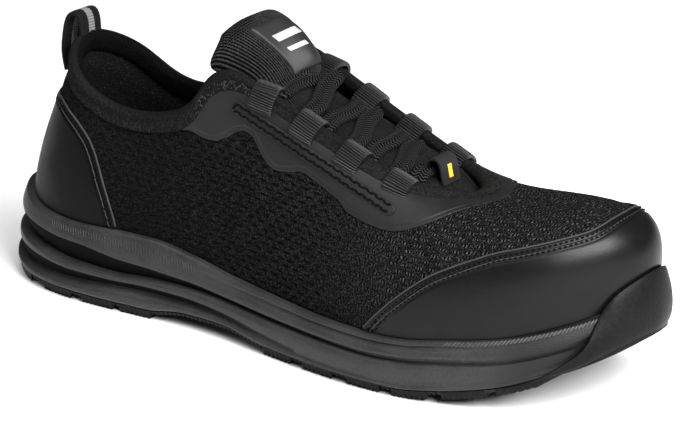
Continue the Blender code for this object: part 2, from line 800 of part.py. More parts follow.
def build_pull_loop():
    foot = skin(0, share_at_height(0, PULL_FOOT_Z))
    seat = (foot[0] - GAP - PULL_THICKNESS / 2, foot[2])
    path = np.array((seat,) + PULL, float)
    along = np.concatenate([[0.0], np.cumsum(np.linalg.norm(np.diff(path, axis=0), axis=1))])
    line = natural_spline(along, path)(np.linspace(0.0, along[-1], PULL_STEPS))
    across = np.array([-PULL_HALF_WIDTH, 0.0, PULL_HALF_WIDTH])
    points = np.stack([np.column_stack([np.full(3, x), across, np.full(3, z)]) for x, z in line])
    strap = sheet("pull_loop", points, "webbing", PULL_THICKNESS, True, PULL_INSIDE)
    strap.modifiers["thickness"].offset = 0.0


def rib_of_top(x, medial):
    """Rib number whose collar end is at x, on the wanted side."""
    ribs = np.arange(TOE, COUNT + 1) if medial else np.arange(0, TOE + 1)
    tops = CONTROLS[3][ribs % COUNT, 0]
    order = np.argsort(tops)
    return float(np.interp(x, tops[order], ribs[order]))


def build_lace_loop(number, x, medial):
    centre = rib_of_top(x, medial)
    edge_step = np.linalg.norm(skin(centre + 0.5, 1.0) - skin(centre - 0.5, 1.0))
    ribs = centre + np.array([-1.0, 0.0, 1.0]) * LOOP_HALF_WIDTH / edge_step
    rows = []
    for distance in LOOP_REACH:
        shares = np.array([share_below_top(r, distance) for r in ribs])
        rows.append(skin(ribs, shares) + skin_normal(ribs, shares) * LOOP_CLEARANCE)
    full = np.ones(3)
    for outward, upward in LOOP_BEND:
        rows.append(skin(ribs, full) + skin_normal(ribs, full) * outward + skin_rise(ribs, full) * upward)
    side = "inner" if medial else "outer"
    sheet(f"lace_loop_{side}_{number}", np.stack(rows), "webbing", LOOP_THICKNESS, True, INSIDE)


def lace_strip(name, start, finish, from_w, to_w, lift, helper=False):
    """Flat strand on the tongue from one loop to another."""
    across = np.linspace(from_w, to_w, LACE_STEPS)
    share = (across + LACE_LOOP_AT) / (2 * LACE_LOOP_AT)
    along = start + (finish - start) * share
    bump = np.cos(np.clip(across / LACE_LIFT_SPAN, -1.0, 1.0) * math.pi / 2) ** 2
    rise = LACE_CLEARANCE + lift * bump
    lean = math.hypot(finish - start, 2 * LACE_LOOP_AT * TONGUE[4][2]) / (2 * LACE_LOOP_AT * TONGUE[4][2])
    rows = [tongue_point(along + s * LACE_HALF_WIDTH * lean, across, rise) for s in (-1.0, 0.0, 1.0)]
    return sheet(name, np.stack(rows), "lace", LACE_THICKNESS, True, INSIDE, helper=helper)


def build_laces():
    stations = [tongue_along(x) for x in LOOP_ROWS_X]
    for number in (1, 2, 3):
        upper_loop = stations[number - 1]
        lower_loop = stations[number]
        over = lace_strip(f"lace_cross_{number}", upper_loop, lower_loop, -LACE_END, LACE_END, LACE_LIFT)
        under = lace_strip(f"lace_under_{number}", lower_loop, upper_loop, -LACE_END, LACE_END, 0.0, True)
        join(over, under)
    bar = tongue_along(BAR_X)
    lace_strip("lace_bar", bar, bar, -LACE_END, LACE_END, 0.0)
    across = np.linspace(TAG_FROM_W, TAG_TO_W, TAG_STEPS)
    rows = []
    for ahead, drop in TAG_FOLD:
        rows.append(tongue_point(np.full(TAG_STEPS, bar + ahead), across, TAG_CLEARANCE - drop))
    sheet("lace_tag", np.stack(rows), "webbing", TAG_THICKNESS, True, INSIDE)


def within(values, first, last):
    """The values between two limits, with the limits themselves."""
    return np.concatenate([[first], values[(values > first) & (values < last)], [last]])


def build_label():
    along = within(TONGUE_ALONG, tongue_along(LABEL_FROM_X), tongue_along(LABEL_TO_X))
    across = within(TONGUE_W, -LABEL_HALF_WIDTH, LABEL_HALF_WIDTH)
    points = np.stack([tongue_point(np.full(across.shape, a), across, GAP) for a in along])
    sheet("tongue_label", points, "patch", LABEL_THICKNESS, True, TONGUE_INSIDE)


build_upper()
build_midsole()
build_outsole()
build_insole()
build_tongue()
build_toe_cap()
build_heel_counter()
build_eyestay()
build_collar_binding()
build_pull_loop()
for row_number, row_x in enumerate(LOOP_ROWS_X, start=1):
    build_lace_loop(row_number, row_x, False)
    build_lace_loop(row_number, row_x, True)
build_laces()
build_label()
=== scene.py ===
"""Looks of the right safety shoe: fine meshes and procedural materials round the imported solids.

Sizes are in millimetres in the shoe's own frame and become metres when a mesh is made.
x runs from the heel to the toe, y is negative on the outer (lateral) side, z is up from the floor.
"""
import math

import bmesh
import bpy
import numpy as np
from mathutils import Matrix, Vector
from mathutils.bvhtree import BVHTree


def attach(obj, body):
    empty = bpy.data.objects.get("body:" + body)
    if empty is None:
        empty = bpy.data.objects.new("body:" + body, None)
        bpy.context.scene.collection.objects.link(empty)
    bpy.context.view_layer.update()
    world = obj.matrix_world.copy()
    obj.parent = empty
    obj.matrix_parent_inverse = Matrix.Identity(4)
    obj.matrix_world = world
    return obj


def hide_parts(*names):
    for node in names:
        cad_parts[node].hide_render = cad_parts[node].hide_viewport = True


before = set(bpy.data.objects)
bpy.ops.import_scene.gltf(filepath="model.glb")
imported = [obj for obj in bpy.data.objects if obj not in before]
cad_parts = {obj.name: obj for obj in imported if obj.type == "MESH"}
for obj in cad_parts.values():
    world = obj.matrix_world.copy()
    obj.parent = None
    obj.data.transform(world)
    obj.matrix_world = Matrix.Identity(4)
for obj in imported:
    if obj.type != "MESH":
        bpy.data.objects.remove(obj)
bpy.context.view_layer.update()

MM = 0.001
SOLE_LENGTH = 300.0
MIDDLE_X = 151.0
MIDDLE_Y = -0.6
INSIDE = (150.0, 0.0, 45.0)
RIBS_PER_SIDE = 180
END_CROWDING = 0.03
OUTLINE_SAMPLES = 2400
CHORD_POWER = 0.75
GAP = 0.35
FEATHER_INSET = 8.0

# Sole outline seen from above: heel, outer side, toe, inner side.
OUTLINE = (
    (0, 0), (9, -21), (38, -36.5), (105, -38), (150, -44.5), (195, -52), (240, -48.5), (274, -34), (294, -12),
    (300, 8), (294, 27), (272, 44), (235, 51), (205, 49.5), (150, 39), (105, 34), (38, 36), (9, 21),
)

# Heights along the sole: x, lug bottoms, lower groove, upper groove, top edge, foot bed.
SOLE_LEVELS = ("tread", "low", "high", "rim", "bed")
SOLE = (
    (0, 6.0, 12.6, 23.0, 41.0, 26.0),
    (10, 2.0, 9.2, 20.7, 36.5, 25.0),
    (25, 0.0, 8.6, 18.8, 34.0, 24.0),
    (46, 0.0, 8.8, 16.3, 33.1, 23.5),
    (70, 0.0, 10.4, 15.6, 33.8, 23.0),
    (86, 0.0, 10.8, 16.8, 33.7, 22.3),
    (106, 2.6, 10.6, 17.2, 30.6, 21.0),
    (126, 2.8, 9.6, 16.2, 26.7, 19.5),
    (150, 0.0, 7.2, 14.7, 24.4, 17.5),
    (177, 0.0, 5.4, 14.0, 22.8, 15.6),
    (200, 0.0, 5.4, 13.5, 22.3, 14.0),
    (215, 0.0, 5.8, 14.3, 22.9, 14.2),
    (231, 1.8, 7.8, 16.3, 25.4, 14.8),
    (255, 6.5, 12.3, 20.0, 29.4, 18.2),
    (280, 15.0, 20.8, 27.5, 36.8, 25.0),
    (300, 27.0, 32.7, 37.5, 45.5, 35.0),
)

# Ribs of the upper: where each starts along the sole, where it ends on the collar or throat as x, outer y,
# inner y and z, and the reach of its two middle control points as lean, rise, reach and drop.
RIBS = (
    (0, 28.5, 0, 0, 104.7, 0.5, 30, 6.5, 26),
    (10, 33, -16, 16, 100, 1.5, 30, 6.5, 26),
    (25, 40.5, -24, 24, 94, 2.5, 29, 6, 24),
    (45, 51, -26, 26, 87.5, 3, 28, 4, 22),
    (75, 72, -26, 26, 83, 3, 26, 4, 20),
    (97, 92, -27.5, 27, 87, 3, 26, 6, 22),
    (112, 103, -28, 27.5, 95, 3, 28, 7, 26),
    (123, 110, -27.5, 27, 105, 3, 30, 8, 28),
    (134, 120, -27, 26.5, 109, 3, 32, 9, 26),
    (149, 136, -25.5, 25, 104.2, 3, 33, 10, 20),
    (167, 156, -24, 23.5, 95.4, 3, 34, 11, 14),
    (187, 177, -23, 22, 86.6, 3, 35, 12, 9),
    (208, 197, -21, 20, 78.8, 3, 37, 16, 5),
    (234, 212, -15, 14.5, 75, 4.5, 42, 26, 4),
    (268, 219.5, -7, 7.5, 73, 9, 53, 46, 0.5),
    (300, 221.5, 0.5, 0.5, 72.5, 13, 60, 58, 0),
)


def unit(vectors):
    return vectors / np.linalg.norm(vectors, axis=-1)[..., None]


def smooth_step(x, start, finish):
    t = np.clip((np.asarray(x, float) - start) / (finish - start), 0.0, 1.0)
    return t * t * (3.0 - 2.0 * t)


def path_length(points):
    """Distance along a path at each of its points."""
    return np.concatenate([[0.0], np.cumsum(np.linalg.norm(np.diff(points, axis=0), axis=1))])


def read_at(places, along, points):
    """Points of a path at places along it."""
    return np.column_stack([np.interp(places, along, points[:, c]) for c in range(points.shape[1])])


def resample(points, count):
    along = path_length(points)
    return read_at(np.linspace(0.0, along[-1], count), along, points)


def natural_spline(stations, values):
    """Smooth curve through the values, straight at both ends."""
    xs = np.asarray(stations, float)
    ys = np.asarray(values, float)
    step = np.diff(xs)
    count = len(xs)
    system = np.zeros((count, count))
    right = np.zeros_like(ys)
    system[0, 0] = system[-1, -1] = 1.0
    for i in range(1, count - 1):
        system[i, i - 1] = step[i - 1]
        system[i, i] = 2.0 * (step[i - 1] + step[i])
        system[i, i + 1] = step[i]
        right[i] = 6.0 * ((ys[i + 1] - ys[i]) / step[i] - (ys[i] - ys[i - 1]) / step[i - 1])
    bend = np.linalg.solve(system, right)

    def curve(x):
        x = np.clip(np.asarray(x, float), xs[0], xs[-1])
        i = np.clip(np.searchsorted(xs, x) - 1, 0, count - 2)
        width = step[i]
        a = (xs[i + 1] - x) / width
        if ys.ndim > 1:
            a = a[..., None]
            width = width[..., None]
        b = 1.0 - a
        bow = ((a**3 - a) * bend[i] + (b**3 - b) * bend[i + 1]) * width**2 / 6.0
        return a * ys[i] + b * ys[i + 1] + bow

    return curve


def smooth_path(points, samples, count):
    """Evenly spaced points on a smooth curve through the given ones."""
    along = path_length(points)
    return resample(natural_spline(along, points)(np.linspace(0.0, along[-1], samples)), count)


def table_curve(rows, column=1):
    """Curve through one column of a table that never overshoots between two rows."""
    xs = np.array([row[0] for row in rows], float)
    ys = np.array([row[column] for row in rows], float)
    step = np.diff(xs)
    slope = np.diff(ys) / step
    tangent = np.zeros_like(ys)
    tangent[0] = slope[0]
    tangent[-1] = slope[-1]
    for i in range(1, len(xs) - 1):
        if slope[i - 1] * slope[i] > 0.0:
            tangent[i] = 2.0 * slope[i - 1] * slope[i] / (slope[i - 1] + slope[i])

    def curve(x):
        x = np.clip(np.asarray(x, float), xs[0], xs[-1])
        i = np.clip(np.searchsorted(xs, x) - 1, 0, len(step) - 1)
        t = (x - xs[i]) / step[i]
        rise = ys[i + 1] - ys[i]
        start = step[i] * tangent[i]
        finish = step[i] * tangent[i + 1]
        return ys[i] + t * (start + t * (3 * rise - 2 * start - finish + t * (start + finish - 2 * rise)))

    return curve


def table_curves(rows, names):
    return {name: table_curve(rows, column) for column, name in enumerate(names, start=1)}


def outline_loop():
    """Points and outward normals on the sole outline: heel, outer side, toe, inner side."""
    points = np.array(OUTLINE * 3 + OUTLINE[:1], float)
    chord = np.linalg.norm(np.diff(points, axis=0), axis=1) ** CHORD_POWER
    along = np.concatenate([[0.0], np.cumsum(chord)])
    once = np.linspace(along[len(OUTLINE)], along[2 * len(OUTLINE)], OUTLINE_SAMPLES, endpoint=False)
    dense = natural_spline(along, points)(once)
    dense = np.roll(dense, -int(dense[:, 0].argmin()), axis=0)
    toe = int(dense[:, 0].argmax())
    ahead = np.roll(dense, -3, axis=0) - np.roll(dense, 3, axis=0)
    normal = unit(np.column_stack([-ahead[:, 1], ahead[:, 0]]))
    if ((dense - dense.mean(0)) * normal).sum() < 0.0:
        normal = -normal
    share = np.arange(RIBS_PER_SIDE + 1) / RIBS_PER_SIDE
    share = share - END_CROWDING * np.sin(2 * math.pi * share)
    whole = np.hstack([dense, normal])
    lateral = whole[:toe + 1]
    medial = whole[toe:][::-1]
    length = path_length(lateral[:, :2])
    outer = read_at(share * length[-1], length, lateral)
    inner = read_at(outer[:, 0], medial[:, 0], medial)
    loop = np.vstack([outer, inner[1:-1][::-1]])
    return loop[:, :2], unit(loop[:, 2:])


EDGE, EDGE_NORMAL = outline_loop()
EDGE_X = EDGE[:, 0]
COUNT = len(EDGE)
TOE = RIBS_PER_SIDE
ALL_RIBS = np.arange(COUNT)
SHARES = np.linspace(0.0, 1.0, 241)
SOLE_CURVES = table_curves(SOLE, SOLE_LEVELS)
RIM = SOLE_CURVES["rim"]


def edge_ring(offset, level, extra=0.0):
    """Ring on the sole outline moved outward by offset, extra above the height level(x)."""
    plan = EDGE + EDGE_NORMAL * np.broadcast_to(offset, (COUNT,))[:, None]
    return np.column_stack([plan, level(plan[:, 0]) + extra])


def rib_controls():
    """Four control points of every rib of the upper."""
    table = np.array(RIBS, float)
    turn = np.arccos(1.0 - 2.0 * table[:, 0] / SOLE_LENGTH)
    foot_x = np.clip(EDGE_X, 0.0, SOLE_LENGTH)
    columns = natural_spline(turn, table[:, 1:])(np.arccos(1.0 - 2.0 * foot_x / SOLE_LENGTH)).T
    top_x, lateral, medial, top_z, lean, rise, reach, drop = columns
    top_y = np.where(ALL_RIBS <= TOE, lateral, medial)
    outward = np.column_stack([EDGE_NORMAL, np.zeros(COUNT)])
    upward = np.array([0.0, 0.0, 1.0])
    foot = edge_ring(-FEATHER_INSET, SOLE_CURVES["bed"], GAP)
    top = np.column_stack([top_x, top_y, top_z])
    inward = unit((top - foot) * np.array([1.0, 1.0, 0.0]))
    low = foot + outward * lean[:, None] + upward * rise[:, None]
    high = top - inward * reach[:, None] - upward * drop[:, None]
    return np.stack([foot, low, high, top])


CONTROLS = rib_controls()


def between_ribs(values, rib):
    """Values kept per rib, read at a rib number that may lie between two ribs."""
    rib = np.asarray(rib, float)
    before = np.floor(rib).astype(int)
    part = (rib - before)[..., None]
    return values[before % COUNT] * (1 - part) + values[(before + 1) % COUNT] * part


def skin(rib, share):
    """Point of the upper's outer surface: share 0 is the sole edge, 1 is the collar edge."""
    a, b, c, d = (between_ribs(points, rib) for points in CONTROLS)
    t = np.asarray(share, float)[..., None]
    return (1 - t) ** 3 * a + 3 * (1 - t) ** 2 * t * b + 3 * (1 - t) * t**2 * c + t**3 * d


def skin_rise(rib, share):
    """Unit direction up the rib."""
    a, b, c, d = (between_ribs(points, rib) for points in CONTROLS)
    t = np.asarray(share, float)[..., None]
    return unit((1 - t) ** 2 * (b - a) + 2 * (1 - t) * t * (c - b) + t**2 * (d - c))


def skin_normal(rib, share):
    """Unit normal pointing out of the shoe."""
    rib = np.asarray(rib, float)
    along = skin(rib + 1.0, share) - skin(rib - 1.0, share)
    return unit(np.cross(along, skin_rise(rib, share)))


def share_at_height(rib, height):
    line = skin(np.full(SHARES.shape, rib), SHARES)[:, 2]
    over = max(int(np.argmax(line >= height)), 1)
    part = (height - line[over - 1]) / (line[over] - line[over - 1])
    return float(SHARES[over - 1] + part * (SHARES[1] - SHARES[0]))


def shares_at_height(ribs, heights):
    return np.array([share_at_height(r, z) for r, z in zip(ribs, heights)])


def share_below_top(rib, distance):
    line = skin(np.full(SHARES.shape, rib), SHARES)
    left = np.linalg.norm(np.diff(line, axis=0), axis=1)[::-1].cumsum()[::-1]
    return float(np.interp(-distance, -np.append(left, 0.0), SHARES))


def shares_below_top(ribs, distance):
    ribs, distance = np.broadcast_arrays(np.asarray(ribs, float), distance)
    flat = [share_below_top(r, d) for r, d in zip(ribs.ravel(), distance.ravel())]
    return np.array(flat).reshape(ribs.shape)


def ribs_where(test, step):
    """Rib numbers, by steps, over the unbroken run of ribs that pass the test on their outline x."""
    chosen = np.array([k for k in ALL_RIBS if test(EDGE_X[k])])
    jump = np.flatnonzero(np.diff(chosen) > 1)
    if len(jump):
        split = int(jump[0]) + 1
        chosen = np.concatenate([chosen[split:] - COUNT, chosen[:split]])
    return np.arange(chosen[0], chosen[-1] + step / 2, step)


def rib_x(ribs):
    return between_ribs(EDGE, ribs)[:, 0]


def rib_of_top(x, medial):
    """Rib number whose collar end is at x, on the wanted side."""
    ribs = np.arange(TOE, COUNT + 1) if medial else np.arange(0, TOE + 1)
    tops = CONTROLS[3][ribs % COUNT, 0]
    order = np.argsort(tops)
    return float(np.interp(x, tops[order], ribs[order]))


TONGUE_RIB = 1.15
KNIT_SLIT = 5.8
KNIT_ROW = 2.8
KNIT_DOT = 1.3
# Reach along the sole over which the midsole fades into painted shade at the front of the toe.
SHADED_TOE = (244.0, 268.0)


class Look:
    """Material built node by node round one Principled shader."""

    def __init__(self, name, colour, roughness, gloss=0.5):
        self.material = bpy.data.materials.new(name)
        self.material.use_nodes = True
        self.tree = self.material.node_tree
        self.shader = self.tree.nodes["Principled BSDF"]
        self.put("Base Color", (*colour, 1.0))
        self.put("Roughness", roughness)
        self.put("Specular IOR Level", gloss)
        self.normal = None

    def fill(self, socket, value):
        if isinstance(value, bpy.types.NodeSocket):
            self.tree.links.new(value, socket)
        else:
            socket.default_value = value

    def put(self, socket, value):
        self.fill(self.shader.inputs[socket], value)

    def node(self, kind, output=0, options=None, **inputs):
        made = self.tree.nodes.new(kind)
        for key, value in (options or {}).items():
            setattr(made, key, value)
        for key, value in inputs.items():
            self.fill(made.inputs[key.replace("_", " ")], value)
        return made.outputs[output]

    def math(self, operation, *values):
        made = self.tree.nodes.new("ShaderNodeMath")
        made.operation = operation
        for socket, value in zip(made.inputs, values):
            self.fill(socket, value)
        return made.outputs[0]

    def times(self, first, second):
        return self.math("MULTIPLY", first, second)

    def plus(self, first, second):
        return self.math("ADD", first, second)

    def minus(self, first, second):
        return self.math("SUBTRACT", first, second)

    def place(self):
        return self.node("ShaderNodeTexCoord", "Object")

    def along(self):
        """Distance from the heel in millimetres."""
        x = self.node("ShaderNodeSeparateXYZ", "X", Vector=self.place())
        return self.math("MULTIPLY_ADD", x, 1.0 / MM, MIDDLE_X)

    def weave(self):
        """Pattern coordinates in millimetres: along, across, and a third number."""
        made = self.tree.nodes.new("ShaderNodeAttribute")
        made.attribute_name = "weave"
        split = self.tree.nodes.new("ShaderNodeSeparateXYZ")
        self.tree.links.new(made.outputs["Vector"], split.inputs[0])
        return split.outputs

    def noise(self, size, detail=2.0, rough=0.55):
        """Cloudy value whose lumps are about size millimetres across."""
        return self.node("ShaderNodeTexNoise", "Fac", Vector=self.place(), Scale=1.0 / (size * MM),
                         Detail=detail, Roughness=rough)

    def grain(self, size):
        """Value that rises from the middle of each of many soft cells."""
        return self.node("ShaderNodeTexVoronoi", "Distance", {"feature": "SMOOTH_F1"}, Vector=self.place(),
                         Scale=1.0 / (size * MM))

    def spread(self, value, low, high, to_low=0.0, to_high=1.0):
        return self.node("ShaderNodeMapRange", 0, {"interpolation_type": "SMOOTHSTEP"}, Value=value,
                         From_Min=low, From_Max=high, To_Min=to_low, To_Max=to_high)

    def wave(self, value, pitch):
        """0 to 1 and back over each pitch."""
        turn = self.times(value, 2 * math.pi / pitch)
        return self.math("MULTIPLY_ADD", self.math("SINE", turn), 0.5, 0.5)

    def mix(self, factor, first, second):
        made = self.tree.nodes.new("ShaderNodeMix")
        made.data_type = "RGBA"
        self.fill(made.inputs[0], factor)
        for socket, value in ((made.inputs[6], first), (made.inputs[7], second)):
            self.fill(socket, (*value, 1.0) if isinstance(value, tuple) else value)
        return made.outputs[2]

    def bump(self, height, depth, strength):
        """Adds relief of about depth millimetres."""
        inputs = {"Height": height, "Distance": depth * MM, "Strength": strength}
        if self.normal is not None:
            inputs["Normal"] = self.normal
        self.normal = self.node("ShaderNodeBump", "Normal", **inputs)
        self.put("Normal", self.normal)


def grey(level, warm=0.0):
    return (level * (1 + warm), level, level * (1 - warm))


def knit_look():
    """Knit with rows of short open slits, which break up into dark dots and light dots over the forefoot; the
    light dots are painted highlight on the lips of the slits, and the thread's tone lightens towards the vamp
    as painted light where it faces up.
    """
    look = Look("knit", grey(0.010), 0.9, 0.02)
    u, v, _ = look.weave()
    vamp = look.spread(u, 150.0, 225.0)
    open_part = look.spread(u, 50.0, 190.0, 0.45)
    # Thread tone lightens towards the vamp: painted light, as the vamp faces up to the lamps.
    tone = look.spread(u, 75.0, 160.0, 0.014, 0.025)
    u = look.math("MULTIPLY_ADD", look.noise(5.0), 3.0, u)
    v = look.math("MULTIPLY_ADD", look.noise(3.0), 0.7, v)
    row = look.math("DIVIDE", v, KNIT_ROW)
    shift = look.times(look.math("MODULO", look.math("FLOOR", row), 2.0), 0.5)
    fu = look.minus(look.math("FRACT", look.plus(look.math("DIVIDE", u, KNIT_SLIT), shift)), 0.5)
    fv = look.minus(look.math("FRACT", row), 0.5)
    du, dv = (look.math("POWER", look.math("ABSOLUTE", look.times(f, scale)), 2.0)
              for f, scale in ((fu, 2.9), (fv, 4.4)))
    slit = look.spread(look.plus(du, dv), 0.35, 1.25, 1.0, 0.0)
    speck = look.noise(0.55)
    # Light dots in the slits: painted highlight on the lips of the slits.
    dots = look.times(look.spread(look.wave(u, KNIT_DOT), 0.35, 0.75), vamp)
    light = look.times(look.times(slit, dots), look.spread(speck, 0.35, 0.6, 0.25))
    hole = look.times(look.times(slit, open_part), look.minus(1.0, dots))
    yarn = look.wave(look.plus(u, look.times(v, 0.9)), 0.62)
    face = look.plus(look.times(yarn, 0.35), look.times(speck, 0.6))
    thread = look.mix(look.spread(speck, 0.47, 0.68), grey(0.0025), tone)
    thread = look.mix(light, thread, grey(0.06))
    look.put("Base Color", look.mix(hole, thread, grey(0.0008)))
    look.bump(look.minus(face, hole), 0.5, 0.9)
    return look.material


def tongue_look():
    """Rib knit with painted highlight on the rib crests, and painted shade that darkens it down in the
    throat.
    """
    look = Look("tongue_knit", grey(0.012), 0.9, 0.03)
    u, v, _ = look.weave()
    twist = look.wave(look.plus(u, look.times(v, 0.8)), 0.75)
    speck = look.noise(0.45)
    crest = look.wave(look.plus(v, TONGUE_RIB / 4), TONGUE_RIB)
    # Painted highlight on the rib crests.
    lit = look.times(look.spread(crest, 0.35, 0.9), look.spread(speck, 0.3, 0.7, 0.35))
    # Painted shade: darker down in the throat.
    tone = look.spread(u, 84.0, 104.0, 0.018, 0.036)
    look.put("Base Color", look.mix(lit, grey(0.0010), tone))
    look.bump(look.plus(twist, speck), 0.22, 0.8)
    return look.material


def lining_look():
    look = Look("lining", grey(0.006), 0.95, 0.1)
    fuzz = look.noise(0.7, 4.0, 0.7)
    look.put("Base Color", look.mix(look.spread(fuzz, 0.53, 0.70), grey(0.002), grey(0.026)))
    look.bump(fuzz, 0.6, 0.8)
    return look.material


def leather_look(name, gloss, low, high):
    """Smooth leather, its roughness between low and high."""
    look = Look(name, grey(0.010), 0.42, gloss)
    soft = look.noise(14.0)
    look.put("Roughness", look.spread(soft, 0.25, 0.75, low, high))
    look.put("Base Color", look.mix(look.noise(6.0, 3.0), grey(0.0015), grey(0.0035)))
    look.bump(look.plus(look.times(look.grain(1.1), 0.6), look.times(look.noise(0.35), 0.3)), 0.06, 0.6)
    look.bump(soft, 0.5, 0.25)
    return look.material


def film_look(name, level, gloss):
    look = Look(name, grey(level), 0.5, gloss)
    wrinkle = look.noise(7.0, 3.0)
    look.put("Base Color", look.mix(look.noise(12.0), grey(level * 0.8), grey(level * 1.2)))
    look.put("Roughness", look.spread(wrinkle, 0.3, 0.7, 0.44, 0.56))
    look.bump(wrinkle, 0.5, 0.3)
    look.bump(look.noise(0.4), 0.05, 0.5)
    return look.material


def rubber_look(name, level, roughness, grain, gloss, toe_shade=None):
    """Stippled rubber. Where a toe tone is given, it fades to that darker tone at the front of the toe:
    painted shade, as the front of the toe gets less light.
    """
    look = Look(name, grey(level), roughness, gloss)
    stipple = look.noise(grain)
    cloud = look.noise(18.0)
    tone = look.plus(look.times(cloud, 0.4), look.times(stipple, 0.6))
    colour = look.mix(look.spread(tone, 0.3, 0.7), grey(level * 0.6), grey(level * 1.4))
    # Painted shade towards the front of the toe.
    if toe_shade is not None:
        colour = look.mix(look.spread(look.along(), *SHADED_TOE), colour, grey(toe_shade))
    look.put("Base Color", colour)
    look.put("Roughness", look.spread(cloud, 0.3, 0.7, roughness - 0.05, roughness + 0.06))
    look.bump(stipple, 0.2, 0.6)
    return look.material


def painted_shade_look(name, start, stop):
    """Painted shade on the downward face of a band, which turns between two places along the sole into a
    plain tone a little lighter than the band's base: a painted reflection standing in for the sheen of the
    glossier band.
    """
    look = Look(name, grey(0.003), 0.8, 0.04)
    stipple = look.noise(0.9)
    # Plain tone lighter than the band's base: painted reflection for the sheen this low-gloss look lacks.
    plain = look.mix(stipple, grey(0.016), grey(0.040))
    look.put("Base Color", look.mix(look.spread(look.along(), start, stop), grey(0.003), plain))
    look.bump(stipple, 0.2, 0.6)
    return look.material


def binding_look():
    """Edge tape outside, dark lining where the roll turns into the shoe."""
    look = Look("binding", grey(0.005, 0.06), 0.85, 0.04)
    u, _, out = look.weave()
    fuzz = look.noise(0.6, 3.0, 0.65)
    tape = look.mix(look.spread(fuzz, 0.4, 0.75), grey(0.0035, 0.02), grey(0.014, 0.03))
    lining = look.mix(look.spread(fuzz, 0.45, 0.75), grey(0.0008), grey(0.006))
    look.put("Base Color", look.mix(look.spread(out, -1.9, -0.5, 1.0, 0.0), tape, lining))
    look.bump(look.plus(look.times(look.wave(u, 0.8), 0.4), fuzz), 0.3, 0.7)
    return look.material


def webbing_look():
    look = Look("webbing", grey(0.004), 0.42, 0.38)
    _, v, _ = look.weave()
    speck = look.noise(0.4)
    look.put("Base Color", look.mix(speck, grey(0.001), grey(0.006)))
    look.bump(look.plus(look.wave(v, 0.55), speck), 0.12, 0.7)
    return look.material


def pull_look():
    """Black strap with a light woven stripe down its middle."""
    look = Look("pull_webbing", grey(0.004), 0.75, 0.06)
    _, v, _ = look.weave()
    stripe = look.spread(look.math("ABSOLUTE", v), 1.9, 2.15, 1.0, 0.0)
    speck = look.noise(0.5)
    dark = look.mix(speck, grey(0.002), grey(0.009))
    light = look.mix(speck, grey(0.10), grey(0.16))
    look.put("Base Color", look.mix(stripe, dark, light))
    look.bump(look.plus(look.wave(v, 0.6), speck), 0.12, 0.7)
    return look.material


def lace_look():
    """Flat braid: slanted yarns that meet in chevrons, with painted highlight on the yarn crests and painted
    shade between them.
    """
    look = Look("lace", grey(0.012), 0.8, 0.03)
    _, _, crest = look.weave()
    speck = look.noise(0.3)
    # Painted highlight on the yarn crests, painted shade in the gaps between them.
    lit = look.times(look.spread(crest, 0.42, 0.85), look.spread(speck, 0.3, 0.7, 0.35))
    look.put("Base Color", look.mix(lit, grey(0.0004), grey(0.032)))
    look.bump(speck, 0.2, 0.8)
    return look.material


def thread_look(name, level):
    look = Look(name, grey(level), 0.8, 0.05)
    speck = look.noise(0.3)
    look.put("Base Color", look.mix(speck, grey(level * 0.6), grey(level * 1.5)))
    look.bump(speck, 0.1, 0.6)
    return look.material


def patch_look(name, colour):
    look = Look(name, colour, 0.55, 0.3)
    look.put("Base Color", look.mix(look.noise(6.0), tuple(c * 0.85 for c in colour), colour))
    look.bump(look.noise(0.5), 0.06, 0.5)
    return look.material


KNIT = knit_look()
TONGUE_KNIT = tongue_look()
LINING = lining_look()
LEATHER = leather_look("leather", 0.17, 0.31, 0.42)
HEEL_LEATHER = leather_look("heel_leather", 0.07, 0.40, 0.52)
# Grey far lighter than the leather, for the beads on the turned edges and the seam ridges: painted highlight.
LEATHER_RIM_HIGHLIGHT = film_look("leather_rim_highlight", 0.032, 0.1)
FILM = film_look("film", 0.0065, 0.24)
WELT_FILM = film_look("welt_film", 0.005, 0.24)
# The midsole darkens to 0.002 at the front of the toe: painted shade.
MIDSOLE_RUBBER = rubber_look("midsole", 0.015, 0.5, 0.9, 0.32, 0.002)
# Painted shade on the faces of the top band and of the middle band that face down.
MIDSOLE_SHADE = painted_shade_look("midsole_shade", 150.0, 240.0)
MIDSOLE_LOW_SHADE = painted_shade_look("midsole_low_shade", 100.0, 165.0)
LIP_RUBBER = rubber_look("midsole_lip", 0.035, 0.55, 0.9, 0.3)
OUTSOLE_RUBBER = rubber_look("outsole", 0.004, 0.5, 1.4, 0.09)
BINDING = binding_look()
WEBBING = webbing_look()
PULL_WEBBING = pull_look()
LACE = lace_look()
DARK_THREAD = thread_look("dark_thread", 0.0015)
DIM_THREAD = thread_look("dim_thread", 0.012)
LIGHT_THREAD = thread_look("light_thread", 0.028)
PATCH = patch_look("patch", grey(0.010))
PALE = patch_look("pale_print", grey(0.32))
YELLOW = patch_look("yellow_print", (0.75, 0.42, 0.03))

WELD = 0.000008
SLIVER = 0.000004
SHARP_DEGREES = 55


def to_world(points):
    return (np.asarray(points, float) - (MIDDLE_X, MIDDLE_Y, 0.0)) * MM


